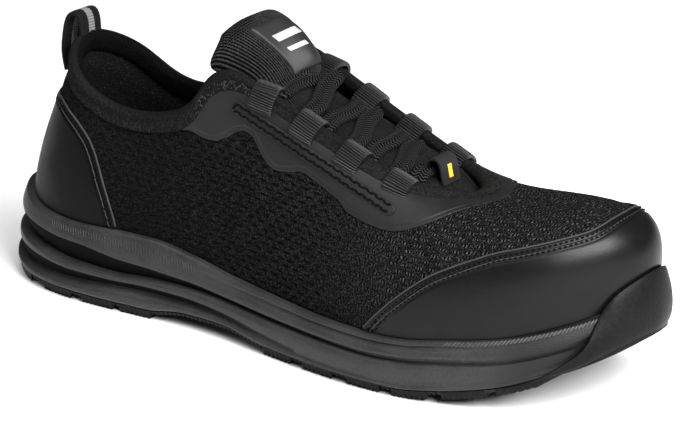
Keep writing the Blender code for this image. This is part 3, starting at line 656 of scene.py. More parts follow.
def add_piece(name, vertices, faces, looks, stands_for=(), weave=None, face_looks=None, smooth=True):
    """Mesh piece of the shoe: weave has pattern coordinates per point, face_looks a material per face."""
    mesh = bpy.data.meshes.new(name)
    mesh.from_pydata(to_world(vertices).tolist(), [], faces)
    if weave is not None:
        layer = mesh.attributes.new("weave", "FLOAT_VECTOR", "POINT")
        layer.data.foreach_set("vector", np.asarray(weave, np.float32).ravel())
    if face_looks is not None:
        mesh.polygons.foreach_set("material_index", np.asarray(face_looks, np.int32))
    work = bmesh.new()
    work.from_mesh(mesh)
    bmesh.ops.remove_doubles(work, verts=work.verts, dist=WELD)
    bmesh.ops.dissolve_degenerate(work, edges=work.edges, dist=SLIVER)
    bmesh.ops.recalc_face_normals(work, faces=work.faces)
    work.to_mesh(mesh)
    work.free()
    mesh.polygons.foreach_set("use_smooth", np.full(len(mesh.polygons), smooth))
    mesh.set_sharp_from_angle(angle=math.radians(SHARP_DEGREES))
    for look in looks:
        mesh.materials.append(look)
    piece = bpy.data.objects.new(name, mesh)
    bpy.context.scene.collection.objects.link(piece)
    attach(piece, "root")
    if stands_for:
        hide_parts(*stands_for)
    return piece


def grid_faces(rows, columns, wrap_columns=False, wrap_rows=False, first=0):
    r, c = np.meshgrid(np.arange(rows if wrap_rows else rows - 1),
                       np.arange(columns if wrap_columns else columns - 1), indexing="ij")
    right = (c + 1) % columns
    down = (r + 1) % rows
    corners = ((r, c), (r, right), (down, right), (down, c))
    quads = np.stack([row * columns + column for row, column in corners], -1)
    return (quads.reshape(-1, 4) + first).tolist()


def shell_faces(rows, columns, wrap):
    """Faces of an outer grid, an inner grid behind it and the strips that join their edges."""
    size = rows * columns
    outer = grid_faces(rows, columns, wrap)
    inner = [face[::-1] for face in grid_faces(rows, columns, wrap, first=size)]
    edges = []
    last = (rows - 1) * columns
    for c in range(columns if wrap else columns - 1):
        n = (c + 1) % columns
        edges.append((c, size + c, size + n, n))
        edges.append((last + c, last + n, size + last + n, size + last + c))
    if not wrap:
        for r in range(rows - 1):
            for c in (0, columns - 1):
                a, b = r * columns + c, (r + 1) * columns + c
                edges.append((a, b, size + b, size + a))
    return outer, inner, edges


def shell(name, outer, inner, looks, stands_for=(), weave=None, wrap=False, inner_look=0):
    """Piece with an outer and an inner face, both grids of points."""
    rows, columns = outer.shape[:2]
    front, back, edges = shell_faces(rows, columns, wrap)
    vertices = np.vstack([outer.reshape(-1, 3), inner.reshape(-1, 3)])
    face_looks = [0] * len(front) + [inner_look] * len(back) + [0] * len(edges)
    if weave is not None:
        weave = np.vstack([weave.reshape(-1, 3)] * 2)
    return add_piece(name, vertices, front + back + edges, looks, stands_for, weave, face_looks)


def tube(rings, first=0):
    """Faces of a run of closed rings with end caps."""
    rows, columns = rings.shape[:2]
    faces = grid_faces(rows, columns, True, first=first)
    faces.append(list(range(first, first + columns))[::-1])
    faces.append(list(range(first + (rows - 1) * columns, first + rows * columns)))
    return faces


def rounded_section(power, count):
    """Rounded rectangle that reaches 1 each way, as points (across, up)."""
    turn = np.linspace(0.0, 2 * math.pi, count, endpoint=False)
    return tuple(np.sign(wave) * np.abs(wave) ** (2 / power) for wave in (np.cos(turn), np.sin(turn)))


def path_frames(centre, normal):
    """Tangent, side and true normal along a path that wants the given normals."""
    tangent = unit(np.gradient(centre, axis=0))
    side = unit(np.cross(normal, tangent))
    return tangent, side, unit(np.cross(tangent, side))


def strap(centre, normal, half_width, half_height, power, count, swell=None):
    """Rings and pattern coordinates of a flat strap on a path. swell scales its thickness along the way."""
    _, side, up = path_frames(centre, normal)
    along = path_length(centre)
    across, height = rounded_section(power, count)
    wide = np.broadcast_to(half_width, along.shape)[:, None, None]
    high = np.broadcast_to(half_height, along.shape)
    if swell is not None:
        high = high * swell(along)
    high = high[:, None, None]
    rings = (centre[:, None] + side[:, None] * across[None, :, None] * wide
             + up[:, None] * height[None, :, None] * high)
    rows = (along[:, None], across[None, :] * wide[:, :, 0], height[None, :])
    return rings, np.stack(np.broadcast_arrays(*rows), -1)


def add_straps(name, straps, looks, stands_for=()):
    vertices, weaves, faces = [], [], []
    first = 0
    for rings, weave in straps:
        faces += tube(rings, first)
        vertices.append(rings.reshape(-1, 3))
        weaves.append(weave.reshape(-1, 3))
        first += len(vertices[-1])
    return add_piece(name, np.vstack(vertices), faces, looks, stands_for, np.vstack(weaves))


def surface_of(piece):
    """Search tree over a piece, in millimetres of the shoe's frame."""
    mesh = piece.data
    points = np.zeros(len(mesh.vertices) * 3, np.float32)
    mesh.vertices.foreach_get("co", points)
    points = points.reshape(-1, 3) / MM + (MIDDLE_X, MIDDLE_Y, 0.0)
    return BVHTree.FromPolygons(points.tolist(), [tuple(p.vertices) for p in mesh.polygons])


def snap(points, surface):
    """Nearest points and normals on a surface."""
    found = [surface.find_nearest(Vector(p)) for p in points]
    return np.array([f[0] for f in found]), np.array([f[1] for f in found])


def capsule(sides=6, rings=5):
    """Unit stitch along x, as rings of points."""
    turn = np.linspace(0.0, 2 * math.pi, sides, endpoint=False)
    points = []
    for a in np.linspace(-1.0, 1.0, rings):
        width = max(math.sqrt(max(1.0 - abs(a) ** 3, 0.0)), 0.12)
        points.append(np.column_stack([np.full(sides, a), np.cos(turn) * width, np.sin(turn) * width]))
    return np.stack(points)


STITCH = capsule()


def capsules(centre, way, normal, half, radius, flat=1.0):
    """Rings of short rounded rods, with one row of centre, direction and normal for each rod."""
    half, radius = (np.broadcast_to(v, len(centre))[:, None, None, None] for v in (half, radius))
    across = unit(np.cross(normal, way))
    return (centre[:, None, None] + way[:, None, None] * STITCH[None, ..., 0:1] * half
            + across[:, None, None] * STITCH[None, ..., 1:2] * radius
            + normal[:, None, None] * STITCH[None, ..., 2:3] * radius * flat)


def stitches(points, normals, pitch, length, radius, slant, sink):
    """Stitch rings along a line. slant turns the stitches to both sides in turn."""
    along = path_length(points)
    places = np.arange(pitch / 2, along[-1], pitch)
    normal = unit(read_at(places, along, normals))
    ahead = unit(read_at(places + 0.2, along, points) - read_at(places - 0.2, along, points))
    side = unit(np.cross(normal, ahead))
    ahead = unit(np.cross(side, normal))
    sign = np.where(np.arange(len(places)) % 2 == 0, 1.0, -1.0)[:, None]
    turned = unit(ahead * math.cos(slant) + side * math.sin(slant) * sign)
    centre = read_at(places, along, points) + normal * radius * (1 - sink)
    return capsules(centre, turned, normal, length / 2, radius, 0.8)


def add_stitches(name, groups, look):
    rings = np.concatenate(groups)
    rows, columns = rings.shape[1:3]
    one = np.array(grid_faces(rows, columns, True))
    size = rows * columns
    faces = (one[None] + (np.arange(len(rings)) * size)[:, None, None]).reshape(-1, 4).tolist()
    for k in range(len(rings)):
        faces.append(list(range(k * size, k * size + columns))[::-1])
        faces.append(list(range(k * size + size - columns, (k + 1) * size)))
    return add_piece(name, rings.reshape(-1, 3), faces, [look])


UPPER_ROWS = 66
UPPER_WALL = 2.2
COLLAR_PAD_IN = 2.2
COLLAR_PAD_OUT = 0.7
PAD_STARTS = (5.0, 15.0)
PAD_STOPS = (26.0, 44.0)
PAD_FRONT = (78.0, 98.0)

# Soft creases of the knit on both sides:
# start and end as x and distance round from the sole, half width, depth.
CREASES = (
    (80, 40, 94, 54, 4.0, -0.55), (120, 30, 150, 44, 5.0, -0.45), (60, 52, 82, 58, 4.0, -0.5),
    (205, 52, 222, 36, 4.0, -0.6), (214, 56, 232, 42, 4.0, 0.5),
)


def girth(points):
    """Distance round the shoe from the sole at the same x, for a grid of rings."""
    slices = np.arange(2.0, 299.0, 2.0)
    total = np.zeros(points.shape[:2])
    outer_half = np.arange(0, TOE + 1)
    inner_half = np.concatenate([np.arange(TOE, COUNT), [0]])[::-1]
    for half in (outer_half, inner_half):
        run = np.zeros(len(slices))
        before = None
        for r in range(len(points)):
            ring = points[r, half]
            here = read_at(slices, np.maximum.accumulate(ring[:, 0]), ring[:, 1:])
            if before is not None:
                run = run + np.linalg.norm(here - before, axis=1)
            before = here
            total[r, half] = np.interp(ring[:, 0], slices, run)
    return total


def crease_lift(x, around):
    lift = np.zeros_like(x)
    for x0, g0, x1, g1, width, depth in CREASES:
        dx, dg = x1 - x0, g1 - g0
        t = np.clip(((x - x0) * dx + (around - g0) * dg) / (dx * dx + dg * dg), 0.0, 1.0)
        away = np.hypot(x - x0 - dx * t, around - g0 - dg * t)
        lift += depth * np.exp(-(away / width) ** 2)
    return lift


def build_upper():
    lines = skin(np.repeat(ALL_RIBS[:, None], len(SHARES), 1), np.repeat(SHARES[None], COUNT, 0))
    runs = np.linalg.norm(np.diff(lines, axis=1), axis=2).cumsum(1)
    runs = np.concatenate([np.zeros((COUNT, 1)), runs], 1)
    parts = np.linspace(0.0, 1.0, UPPER_ROWS)
    shares = np.array([np.interp(parts * run[-1], run, SHARES) for run in runs]).T
    ribs = np.broadcast_to(ALL_RIBS, shares.shape)
    points = skin(ribs, shares)
    normals = skin_normal(ribs, shares)
    around = girth(points)
    below = (1.0 - parts)[:, None] * runs[None, :, -1]
    pad = smooth_step(below, *PAD_STARTS) * (1 - smooth_step(below, *PAD_STOPS))
    pad = pad * (1 - smooth_step(CONTROLS[3][:, 0], *PAD_FRONT))[None]
    outer = points + normals * (crease_lift(points[..., 0], around) + COLLAR_PAD_OUT * pad)[..., None]
    inner = points - normals * (UPPER_WALL + COLLAR_PAD_IN * pad)[..., None]
    weave = np.stack([points[..., 0], around, below], -1)
    return shell("upper_knit", outer, inner, [KNIT, LINING], ["upper"], weave, True, 1)


# Section of the collar tape: distance below the edge and distance out from the upper's face.
TAPE = (
    (7.0, 0.15), (6.9, 0.7), (6.3, 1.0), (5.0, 1.05), (3.6, 1.05), (2.7, 1.15), (2.1, 1.6), (1.1, 1.95),
    (0.0, 1.85), (-1.0, 1.3), (-1.65, 0.3), (-1.85, -0.9), (-1.65, -2.2), (-1.1, -3.4), (0.0, -4.1),
    (2.0, -4.2), (4.5, -4.15), (6.4, -3.9), (7.0, -3.2), (7.0, -2.3), (4.0, -2.3), (0.3, -2.2), (0.3, 0.15),
    (4.0, 0.15),
)
TAPE_CROWN = 11


def edge_point(below, out):
    """Ring by the collar and throat edge, below it and out from the upper's face."""
    shares = shares_below_top(ALL_RIBS, max(below, 0.0))
    rise = skin_rise(ALL_RIBS, np.ones(COUNT)) * max(-below, 0.0)
    return skin(ALL_RIBS, shares) + skin_normal(ALL_RIBS, shares) * out + rise


def build_binding():
    rings = np.stack([edge_point(below, out) for below, out in TAPE])
    run = path_length(rings[TAPE_CROWN])
    below, out = np.array(TAPE).T
    weave = np.stack(np.broadcast_arrays(run[None], -below[:, None], out[:, None]), -1)
    faces = grid_faces(len(TAPE), COUNT, True, True)
    return add_piece("collar_tape", rings.reshape(-1, 3), faces, [BINDING], ["collar_binding"],
                     weave.reshape(-1, 3))


# Rear edge of the toe cap as a share of each rib, from the corner at the sole to the toe centre.
TOE_CAP = (
    (192, 0.02), (196, 0.075), (213, 0.246), (230, 0.376), (246, 0.444), (260, 0.476), (280, 0.476),
    (290, 0.473), (300, 0.51),
)
# Height of the heel counter's top edge.
COUNTER = (
    (0, 80.5), (5, 81), (16, 81.5), (33, 77), (48, 69.5), (54, 63.5), (62, 49), (68, 35),
)
# Lower edge of the eyestay, measured down each rib from the collar edge.
EYESTAY = (
    (100, 7), (105.6, 8.5), (110, 12.2), (119, 21.6), (123.4, 24.8), (128, 25.2), (132.4, 23.4), (137, 22.1),
    (140, 22.6), (145, 29), (149, 30.5), (156, 27.5), (165, 22.5), (181, 23.5), (186, 26), (204, 25),
    (225, 20), (245, 15), (276, 11.5), (300, 11),
)
EYESTAY_TOP = 6.6
NEAR_EDGE = np.concatenate([[0.0, 0.1, 0.3, 0.6], np.arange(0.95, 4.7, 0.25), [5.0, 5.6, 6.4, 7.2, 8.2]])
NEAR_EDGE_REACH = 14.0
FAR_ROWS = 26
EDGE_SAMPLES = 900
PATCH_FOOT = 0.02
ABOVE_RIM = 0.15
ABOVE_PATCH = 2.6
PATCH_BASE = 0.1
LEATHER_THICKNESS = 1.25
LEATHER_ROLL = 0.9
LEATHER_ROWS = (2.2, 3.95)
ROW_WIDTH = 0.42
ROW_DEPTH = 0.36
FILM_THICKNESS = 0.5
FILM_ROLL = 0.4
FILM_LAYER = 0.22
FILM_MARGIN = (1.9, 2.3)
INSIDE_TOE = np.array([290.0, 0.0, 30.0])
INSIDE_HEEL = np.array([10.0, 0.0, 30.0])


def distance_to(points, line):
    flat = points.reshape(-1, 3)
    best = np.full(len(flat), 1e9)
    for chunk in np.array_split(line, max(len(line) // 100, 1)):
        gap = np.linalg.norm(flat[:, None] - chunk[None], axis=2).min(1)
        best = np.minimum(best, gap)
    return best.reshape(points.shape[:-1])


def overlay_grid(ribs, edge, other):
    """Rows of shares from the visible edge to the other end of a patch, close together at the edge."""
    rows = np.zeros((len(NEAR_EDGE) + FAR_ROWS, len(ribs)))
    for c, rib in enumerate(ribs):
        run = path_length(skin(np.full(SHARES.shape, rib), SHARES))
        start, stop = np.interp([edge[c], other[c]], SHARES, run)
        reach = abs(stop - start)
        near = NEAR_EDGE * min(1.0, reach / NEAR_EDGE_REACH)
        far = np.linspace(near[-1], reach, FAR_ROWS + 1)[1:]
        rows[:, c] = np.interp(start + np.sign(stop - start) * np.concatenate([near, far]), run, SHARES)
    return rows


def overlay(name, ribs, edge, other, height, look, node):
    """Patch on the upper whose height is a function of the distance from its visible edge."""
    shares = overlay_grid(ribs, edge, other)
    wide = np.broadcast_to(ribs, shares.shape)
    points = skin(wide, shares)
    normals = skin_normal(wide, shares)
    line = resample(np.hstack([skin(ribs, edge), skin_normal(ribs, edge)]), EDGE_SAMPLES)
    away = distance_to(points, line[:, :3])
    outer = points + normals * height(away)[..., None]
    inner = points + normals * PATCH_FOOT
    return shell(name, outer, inner, [look], [node]), line[:, :3], line[:, 3:]


def quarter_round(away, radius):
    return np.sqrt(1.0 - (1.0 - np.clip(away / radius, 0.0, 1.0)) ** 2)


def leather_height(away):
    """Turned edge with a soft roll, then two sunk stitch lines."""
    sunk = sum(np.exp(-((away - row) / ROW_WIDTH) ** 2) for row in LEATHER_ROWS)
    return PATCH_BASE + LEATHER_THICKNESS * quarter_round(away, LEATHER_ROLL) - ROW_DEPTH * sunk


def film_height(away):
    """Thin margin, then a second layer."""
    layer = FILM_LAYER * smooth_step(away, *FILM_MARGIN)
    return PATCH_BASE + FILM_THICKNESS * quarter_round(away, FILM_ROLL) + layer


def above_rim(ribs):
    return shares_at_height(ribs, RIM(rib_x(ribs)) + ABOVE_RIM)


def pinch_ends(edge, other):
    edge[0] = other[0]
    edge[-1] = other[-1]
    return edge


def build_toe_cap():
    ribs = ribs_where(lambda x: x >= TOE_CAP[0][0], 1.0)
    low = above_rim(ribs)
    high = pinch_ends(np.maximum(table_curve(TOE_CAP)(rib_x(ribs)), low), low)
    made = overlay("toe_cap_leather", ribs, high, low, leather_height, LEATHER, "toe_cap")
    return *made, INSIDE_TOE


def build_heel_counter():
    ribs = ribs_where(lambda x: x <= COUNTER[-1][0] + 1.0, 0.5)
    low = above_rim(ribs)
    high = shares_at_height(ribs, table_curve(COUNTER)(rib_x(ribs)))
    high = pinch_ends(np.maximum(high, low), low)
    made = overlay("heel_counter_leather", ribs, high, low, leather_height, HEEL_LEATHER,
                   "heel_counter")
    return *made, INSIDE_HEEL


def build_eyestay():
    ribs = ribs_where(lambda x: x >= EYESTAY[0][0], 0.5)
    high = shares_below_top(ribs, EYESTAY_TOP)
    low = pinch_ends(np.minimum(shares_below_top(ribs, table_curve(EYESTAY)(rib_x(ribs))), high), high)
    return overlay("eyestay_film", ribs, low, high, film_height, FILM, "eyestay")[0]


SLAB = 1.3
LUG = 2.6
TOE_LUG = 1.0
HEEL_LUG = 2.5
HEEL_LUG_FADE = (2.0, 20.0)
TOE_LUG_FADE = (274.0, 296.0)
MIDSOLE_TOE = (255.0, 285.0)
OUTSOLE_TOE = (254.0, 271.0)


def slab_bottom(x):
    heel = smooth_step(x, *HEEL_LUG_FADE)
    toe = smooth_step(x, *TOE_LUG_FADE)
    return SOLE_CURVES["tread"](x) + (HEEL_LUG + (LUG - HEEL_LUG) * heel) * (1 - toe) + TOE_LUG * toe


def slab_top(x):
    return slab_bottom(x) + SLAB


LEVELS = {**SOLE_CURVES, "bottom": slab_bottom, "slab": slab_top}


def mixed_level(first, second, part):
    return lambda x: (1 - part) * LEVELS[first](x) + part * LEVELS[second](x)


def inner_wall(height):
    """Ring just outside the upper at the given heights."""
    shares = shares_at_height(ALL_RIBS, height)
    return skin(ALL_RIBS, shares) + skin_normal(ALL_RIBS, shares) * GAP


def ladder(first):
    """Faces that close a ring of points by joining its outer side to its inner side."""
    faces = [(first, first + 1, first + COUNT - 1)]
    for k in range(1, TOE - 1):
        faces.append((first + k, first + k + 1, first + COUNT - k - 1, first + COUNT - k))
    faces.append((first + TOE - 1, first + TOE, first + TOE + 1))
    return faces


def closed_stack(rings):
    """Points and faces of a stack of outline rings, closed below and above."""
    faces = grid_faces(len(rings), COUNT, True) + ladder(0) + ladder((len(rings) - 1) * COUNT)
    return np.vstack(rings), faces


# Side bands along the sole: x, depths of the groove under the top band, of the groove under the middle band
# and of the line under the top lip, then the shares of the top and of the middle band that face down.
BAND_VALUES = ("upper_groove", "lower_groove", "lip_line", "top_under", "middle_under")
BANDS = (
    (0, 4.4, 4.2, 0.0, 0.54, 0.70), (48, 4.4, 4.2, 0.0, 0.54, 0.70), (72, 4.0, 3.6, 0.0, 0.38, 0.66),
    (100, 3.3, 3.2, 0.0, 0.24, 0.52), (126, 3.0, 2.4, 0.7, 0.22, 0.40), (150, 2.8, 1.4, 1.2, 0.24, 0.25),
    (200, 2.4, 0.9, 1.4, 0.26, 0.2), (240, 1.5, 0.6, 1.0, 0.28, 0.2), (262, 0.6, 0.45, 0.1, 0.3, 0.25),
    (300, 0.3, 0.4, 0.0, 0.3, 0.3),
)
AT_EDGE = {name: curve(EDGE_X) for name, curve in table_curves(BANDS, BAND_VALUES).items()}
PARTING_LINE = 0.9
LOW_FACE = 0.1
MIDDLE_FACE = -0.7
FACE_STEP = 0.8
UPPER_GROOVE_SHARE = 0.6
BASE_INSET = 4.5
RIM_DROP = 0.1
RIM_WALL = 1.5
BAND_STEPS = 10
LOWEST_UNDER = 0.2
SHADED_TO = 242.0
LOW_SHADED_TO = 165.0
TOP_SHADED_ROWS = 5

# Top band of the midsole: place on its face, distance out from the outline and shares of the depths of the
# groove and of the line under the lip. Places up to TOP_UNDER face down.
TOP_UNDER = 0.3
TOP_BAND = (
    (0.0, -1.7, 1.0, 0.0), (0.06, -1.7, 0.76, 0.0), (0.12, -1.68, 0.52, 0.0), (0.18, -1.65, 0.3, 0.0),
    (0.24, -1.62, 0.12, 0.0), (0.3, -1.62, 0.02, 0.0), (0.36, -1.7, 0.0, 0.0), (0.46, -1.9, 0.0, 0.0),
    (0.54, -2.15, 0.0, 0.06), (0.60, -2.3, 0.0, 0.28), (0.66, -2.5, 0.0, 0.7), (0.70, -2.6, 0.0, 0.95),
    (0.73, -2.7, 0.0, 1.0), (0.76, -2.8, 0.0, 0.8), (0.80, -2.95, 0.0, 0.35), (0.85, -3.1, 0.0, 0.05),
    (0.92, -3.4, 0.0, 0.0), (0.955, -3.7, 0.0, 0.0), (0.985, -4.15, 0.0, 0.0), (1.0, -4.6, 0.0, 0.0),
)
TOP_BAND_TOE_OUT = 0.8

# Fine ribs moulded on the top band: reach along x, places on the band at both ends, lean along the sole,
# pitch, radius and lift.
HEEL_RIBS = (36.0, 110.0, 0.52, 0.86, -1.5, 1.4, 0.34, -0.14)
TOE_HATCH = (234.0, 292.0, 0.80, 0.985, 2.4, 1.7, 0.42, 0.3)


def band_rings(first, second, face, below, above, under):
    """Rings of one band: insets below and above it, and the share of its height that faces down."""
    parts = np.linspace(0.0, 1.0, BAND_STEPS)
    rows = [(under * part, below * (1 - part) ** 1.5) for part in parts]
    rows += [(under + (1 - under) * part, above * part ** 4) for part in parts[1:]]
    return [edge_ring(face - inset, mixed_level(first, second, share), 0.4 * (0.5 - share))
            for share, inset in rows]


def top_band_ring(place, lift=0.0):
    """Ring on the top band at a place on its face."""
    table = np.array(TOP_BAND)
    out, groove, lip = read_at([place], table[:, 0], table[:, 1:])[0]
    under = AT_EDGE["top_under"]
    above = max(place - TOP_UNDER, 0.0) / (1 - TOP_UNDER)
    share = under * min(place / TOP_UNDER, 1.0) + (1 - under) * above
    offset = out + TOP_BAND_TOE_OUT * place * smooth_step(EDGE_X, *MIDSOLE_TOE) + lift
    offset = offset - groove * (AT_EDGE["upper_groove"] - 0.3) - lip * AT_EDGE["lip_line"]
    return edge_ring(offset, mixed_level("high", "rim", share), 0.2 * (1 - share))


def build_midsole():
    upper_groove, lower_groove = AT_EDGE["upper_groove"], AT_EDGE["lower_groove"]
    rings = [edge_ring(-BASE_INSET, slab_top, GAP)]
    rings += band_rings("slab", "low", LOW_FACE, PARTING_LINE, lower_groove, LOWEST_UNDER)
    shaded = [(len(rings), BAND_STEPS - 2, LOW_SHADED_TO, 2)]
    rings += band_rings("low", "high", MIDDLE_FACE, lower_groove - FACE_STEP,
                        UPPER_GROOVE_SHARE * (upper_groove - FACE_STEP), AT_EDGE["middle_under"])
    shaded.append((len(rings), TOP_SHADED_ROWS, SHADED_TO, 1))
    rings += [top_band_ring(row[0]) for row in TOP_BAND]
    rim = RIM(EDGE_X)
    wall = inner_wall(rim)
    wall[:, 2] -= RIM_DROP
    rings += [wall, inner_wall(rim - RIM_WALL), inner_wall(0.5 * (rim + CONTROLS[0][:, 2])),
              edge_ring(GAP - FEATHER_INSET, SOLE_CURVES["bed"])]
    vertices, faces = closed_stack(rings)
    # Faces that look down get the painted shade looks.
    looks = np.zeros(len(faces), int)
    for start, rows, reach, look in shaded:
        looks[start * COUNT:(start + rows) * COUNT] = np.tile(np.where(EDGE_X < reach, look, 0), rows)
    return add_piece("midsole_foam", vertices, faces, [MIDSOLE_RUBBER, MIDSOLE_SHADE, MIDSOLE_LOW_SHADE],
                     ["midsole"], face_looks=looks)


def build_sole_ribs():
    for name, look, row in (("heel_ribs", MIDSOLE_RUBBER, HEEL_RIBS), ("toe_hatch", LIP_RUBBER, TOE_HATCH)):
        start, stop, low, high, lean, pitch, radius, lift = row
        bottom, top = (top_band_ring(place, lift) for place in (low, high))
        bottom, top = (np.vstack([ring, ring[:1]]) for ring in (bottom, top))
        run = path_length(bottom)
        places = np.arange(0.0, run[-1], pitch)
        feet = read_at(places, run, bottom)
        heads = read_at(places + lean, run, top)
        chosen = (feet[:, 0] > start) & (feet[:, 0] < stop)
        feet, heads = feet[chosen], heads[chosen]
        way = heads - feet
        outward = unit(np.cross(np.gradient(feet, axis=0), way))
        outward = outward * np.sign((outward * (feet - np.array(INSIDE))).sum(1))[:, None]
        rods = capsules(0.5 * (feet + heads), unit(way), outward, 0.5 * np.linalg.norm(way, axis=1), radius)
        add_stitches(f"midsole_{name}", [rods], look)


# Side of the outsole from the bottom of the slab: level, distance out from the outline, how much more at the
# toe, height above the level, how much more at the toe, share of the bumper's height, whether it leans on the
# toe cap.
OUTSOLE = (
    ("bottom", -3.2, -4.0, 0.0, 0.0, 0.0, 0),
    ("bottom", -1.3, 2.6, 0.9, 0.9, 0.0, 0),
    ("slab", -1.2, 3.2, -0.4, 0.0, 0.45, 0),
    ("slab", -1.8, 3.4, -0.1, 0.0, 1.0, 1),
    ("slab", -3.2, 3.2, 0.0, 0.0, 1.0, 1),
    ("slab", -4.4, 4.8, 0.0, 0.0, 0.4, 0),
    ("slab", -5.6, 5.95, 0.0, 0.0, 0.0, 0),
)
# Height of the toe bumper above the outsole slab.
BUMPER = (
    (262, 0), (270, 0.8), (276, 2.9), (281, 5.2), (284, 7.5), (286, 10.3), (288, 16.1), (290, 20.2),
    (292, 23.3), (295, 25.4), (300, 27.2),
)
CAP_CLEARANCE = 1.7
BUMPER_CLEARANCE = 0.4
BUMPER_BLEND = 3.0
# Lugs under the sole: rows along x and shares of the width that each lug takes.
LUG_ROWS_X = (
    (8, 20), (33, 46), (55, 68), (75, 87), (150, 162), (172, 184), (195, 207), (216, 228), (237, 250),
    (258, 268),
)
LUG_SHARES = ((0.0, 0.27), (0.37, 0.63), (0.73, 1.0))
LUG_SWEEP = 5.0
LUG_GROWTH = 1.8
LUG_EMBED = 1.0
LUG_EDGE_INSET = 1.3
LUG_DRAFT = 0.012
TOE_TUCK = 4.0
TOOTH_PITCH = 2.2
TOOTH_DEPTH = 1.0
TOOTH = ((0.0, TOOTH_DEPTH), (0.16, 0.0), (0.66, 0.0), (0.82, TOOTH_DEPTH))
EDGE_TEETH = (14.0, 262.0)
EDGE_TEETH_SHARES = ((0.0, 0.08), (0.92, 1.0))
EDGE_TEETH_LIFT = 1.9


def toe_turn(x):
    """0 along the sole and 1 where the outsole turns up into the toe bumper."""
    return smooth_step(x, *OUTSOLE_TOE)


def bumper_inner_offset(top):
    """Distance from the outline at which the bumper's top edge clears the sole and the toe cap."""
    high = SOLE_CURVES["high"](EDGE_X)
    shares = shares_at_height(ALL_RIBS, top)
    reach = skin(ALL_RIBS, shares)[:, :2] + skin_normal(ALL_RIBS, shares)[:, :2] * CAP_CLEARANCE
    cap = ((reach - EDGE) * EDGE_NORMAL).sum(1)
    blend = np.clip((top - high) / (RIM(EDGE_X) + BUMPER_BLEND - high), 0.0, 1.0)
    return BUMPER_CLEARANCE + (cap - BUMPER_CLEARANCE) * blend


def cut_corners(rings):
    """Rounds the corners of a run of rings once and keeps its ends."""
    made = [rings[0]]
    for a, b in zip(rings[:-1], rings[1:]):
        made += [0.75 * a + 0.25 * b, 0.25 * a + 0.75 * b]
    return made + [rings[-1]]


def lug_corner(x, share):
    inset = LUG_EDGE_INSET + TOE_TUCK * float(toe_turn(x))
    outer_side = EDGE[:TOE + 1]
    inner_side = np.vstack([EDGE[TOE:], EDGE[:1]])[::-1]
    lateral = float(np.interp(x, outer_side[:, 0], outer_side[:, 1])) + inset
    medial = float(np.interp(x, inner_side[:, 0], inner_side[:, 1])) - inset
    return lateral + (medial - lateral) * share


def lug(start, stop, from_share, to_share, lift=0.0):
    """Rings of one lug along x, with sawn teeth in its sole."""
    count = max(int(round((stop - start) / TOOTH_PITCH)), 2)
    pitch = (stop - start) / count
    columns = [(start + tooth * pitch + part * pitch, cut) for tooth in range(count) for part, cut in TOOTH]
    columns.append((stop, TOOTH_DEPTH))
    middle = 0.5 * (from_share + to_share)
    rings = []
    for x, cut in columns:
        ring = []
        for share, top in ((from_share, False), (from_share, True), (to_share, True), (to_share, False)):
            swept = x + LUG_SWEEP * (0.5 - abs(share - 0.5))
            if top:
                y = lug_corner(x, share)
                z = float(slab_bottom(swept)) + LUG_EMBED
            else:
                y = lug_corner(x, share + LUG_DRAFT * np.sign(middle - share))
                z = float(SOLE_CURVES["tread"](swept)) + cut + lift
            ring.append((swept, y, z))
        rings.append(ring)
    return np.array(rings)


def build_outsole():
    toe = toe_turn(EDGE_X)
    height = table_curve(BUMPER)(EDGE_X) * toe
    inner_top = bumper_inner_offset(slab_top(EDGE_X) + height)
    rings = []
    for level, out, toe_out, above, toe_above, bumper_share, on_cap in OUTSOLE:
        offset = out + (toe_out + on_cap * inner_top) * toe
        rings.append(edge_ring(offset, LEVELS[level], above + toe_above * toe + bumper_share * height))
    vertices, faces = closed_stack(cut_corners(cut_corners(rings)))
    add_piece("outsole_rubber", vertices, faces, [OUTSOLE_RUBBER], ["outsole"])
    lugs = [lug(start - LUG_GROWTH, stop + LUG_GROWTH, *ends)
            for start, stop in LUG_ROWS_X for ends in LUG_SHARES]
    lugs += [lug(*EDGE_TEETH, *ends, EDGE_TEETH_LIFT) for ends in EDGE_TEETH_SHARES]
    points, faces = [], []
    first = 0
    for rings in lugs:
        faces += tube(rings, first)
        points.append(rings.reshape(-1, 3))
        first += len(points[-1])
    add_piece("outsole_lugs", np.vstack(points), faces, [OUTSOLE_RUBBER], smooth=False)


INSOLE_INSET = 11.2
INSOLE_LIFT = 0.8
INSOLE_THICKNESS = 4.0
INSOLE_DISH = 0.9
INSOLE_COLUMNS = 25


def build_insole():
    """Foot bed with rounded edges and a light dish."""
    edge = edge_ring(-INSOLE_INSET, SOLE_CURVES["bed"], INSOLE_LIFT)
    across = np.sin(np.linspace(-0.5, 0.5, INSOLE_COLUMNS) * math.pi)
    rows = []
    for k in [*range(0, TOE, 3), TOE]:
        lateral, medial = edge[k], edge[(COUNT - k) % COUNT]
        middle, half = 0.5 * (lateral + medial), 0.5 * (medial - lateral)
        rows.append(middle[None] + across[:, None] * half[None])
    bottom = np.stack(rows)
    turn = np.abs(across)
    crown = np.sqrt(np.clip(1.0 - np.clip((turn - 0.93) / 0.07, 0.0, 1.0) ** 2, 0.0, 1.0))
    lift = (INSOLE_THICKNESS - INSOLE_DISH * (1 - turn ** 2)) * crown + 0.2
    top = bottom + np.array([0.0, 0.0, 1.0]) * lift[None, :, None]
    piece = shell("insole_pad", top, bottom, [LINING], ["insole"])


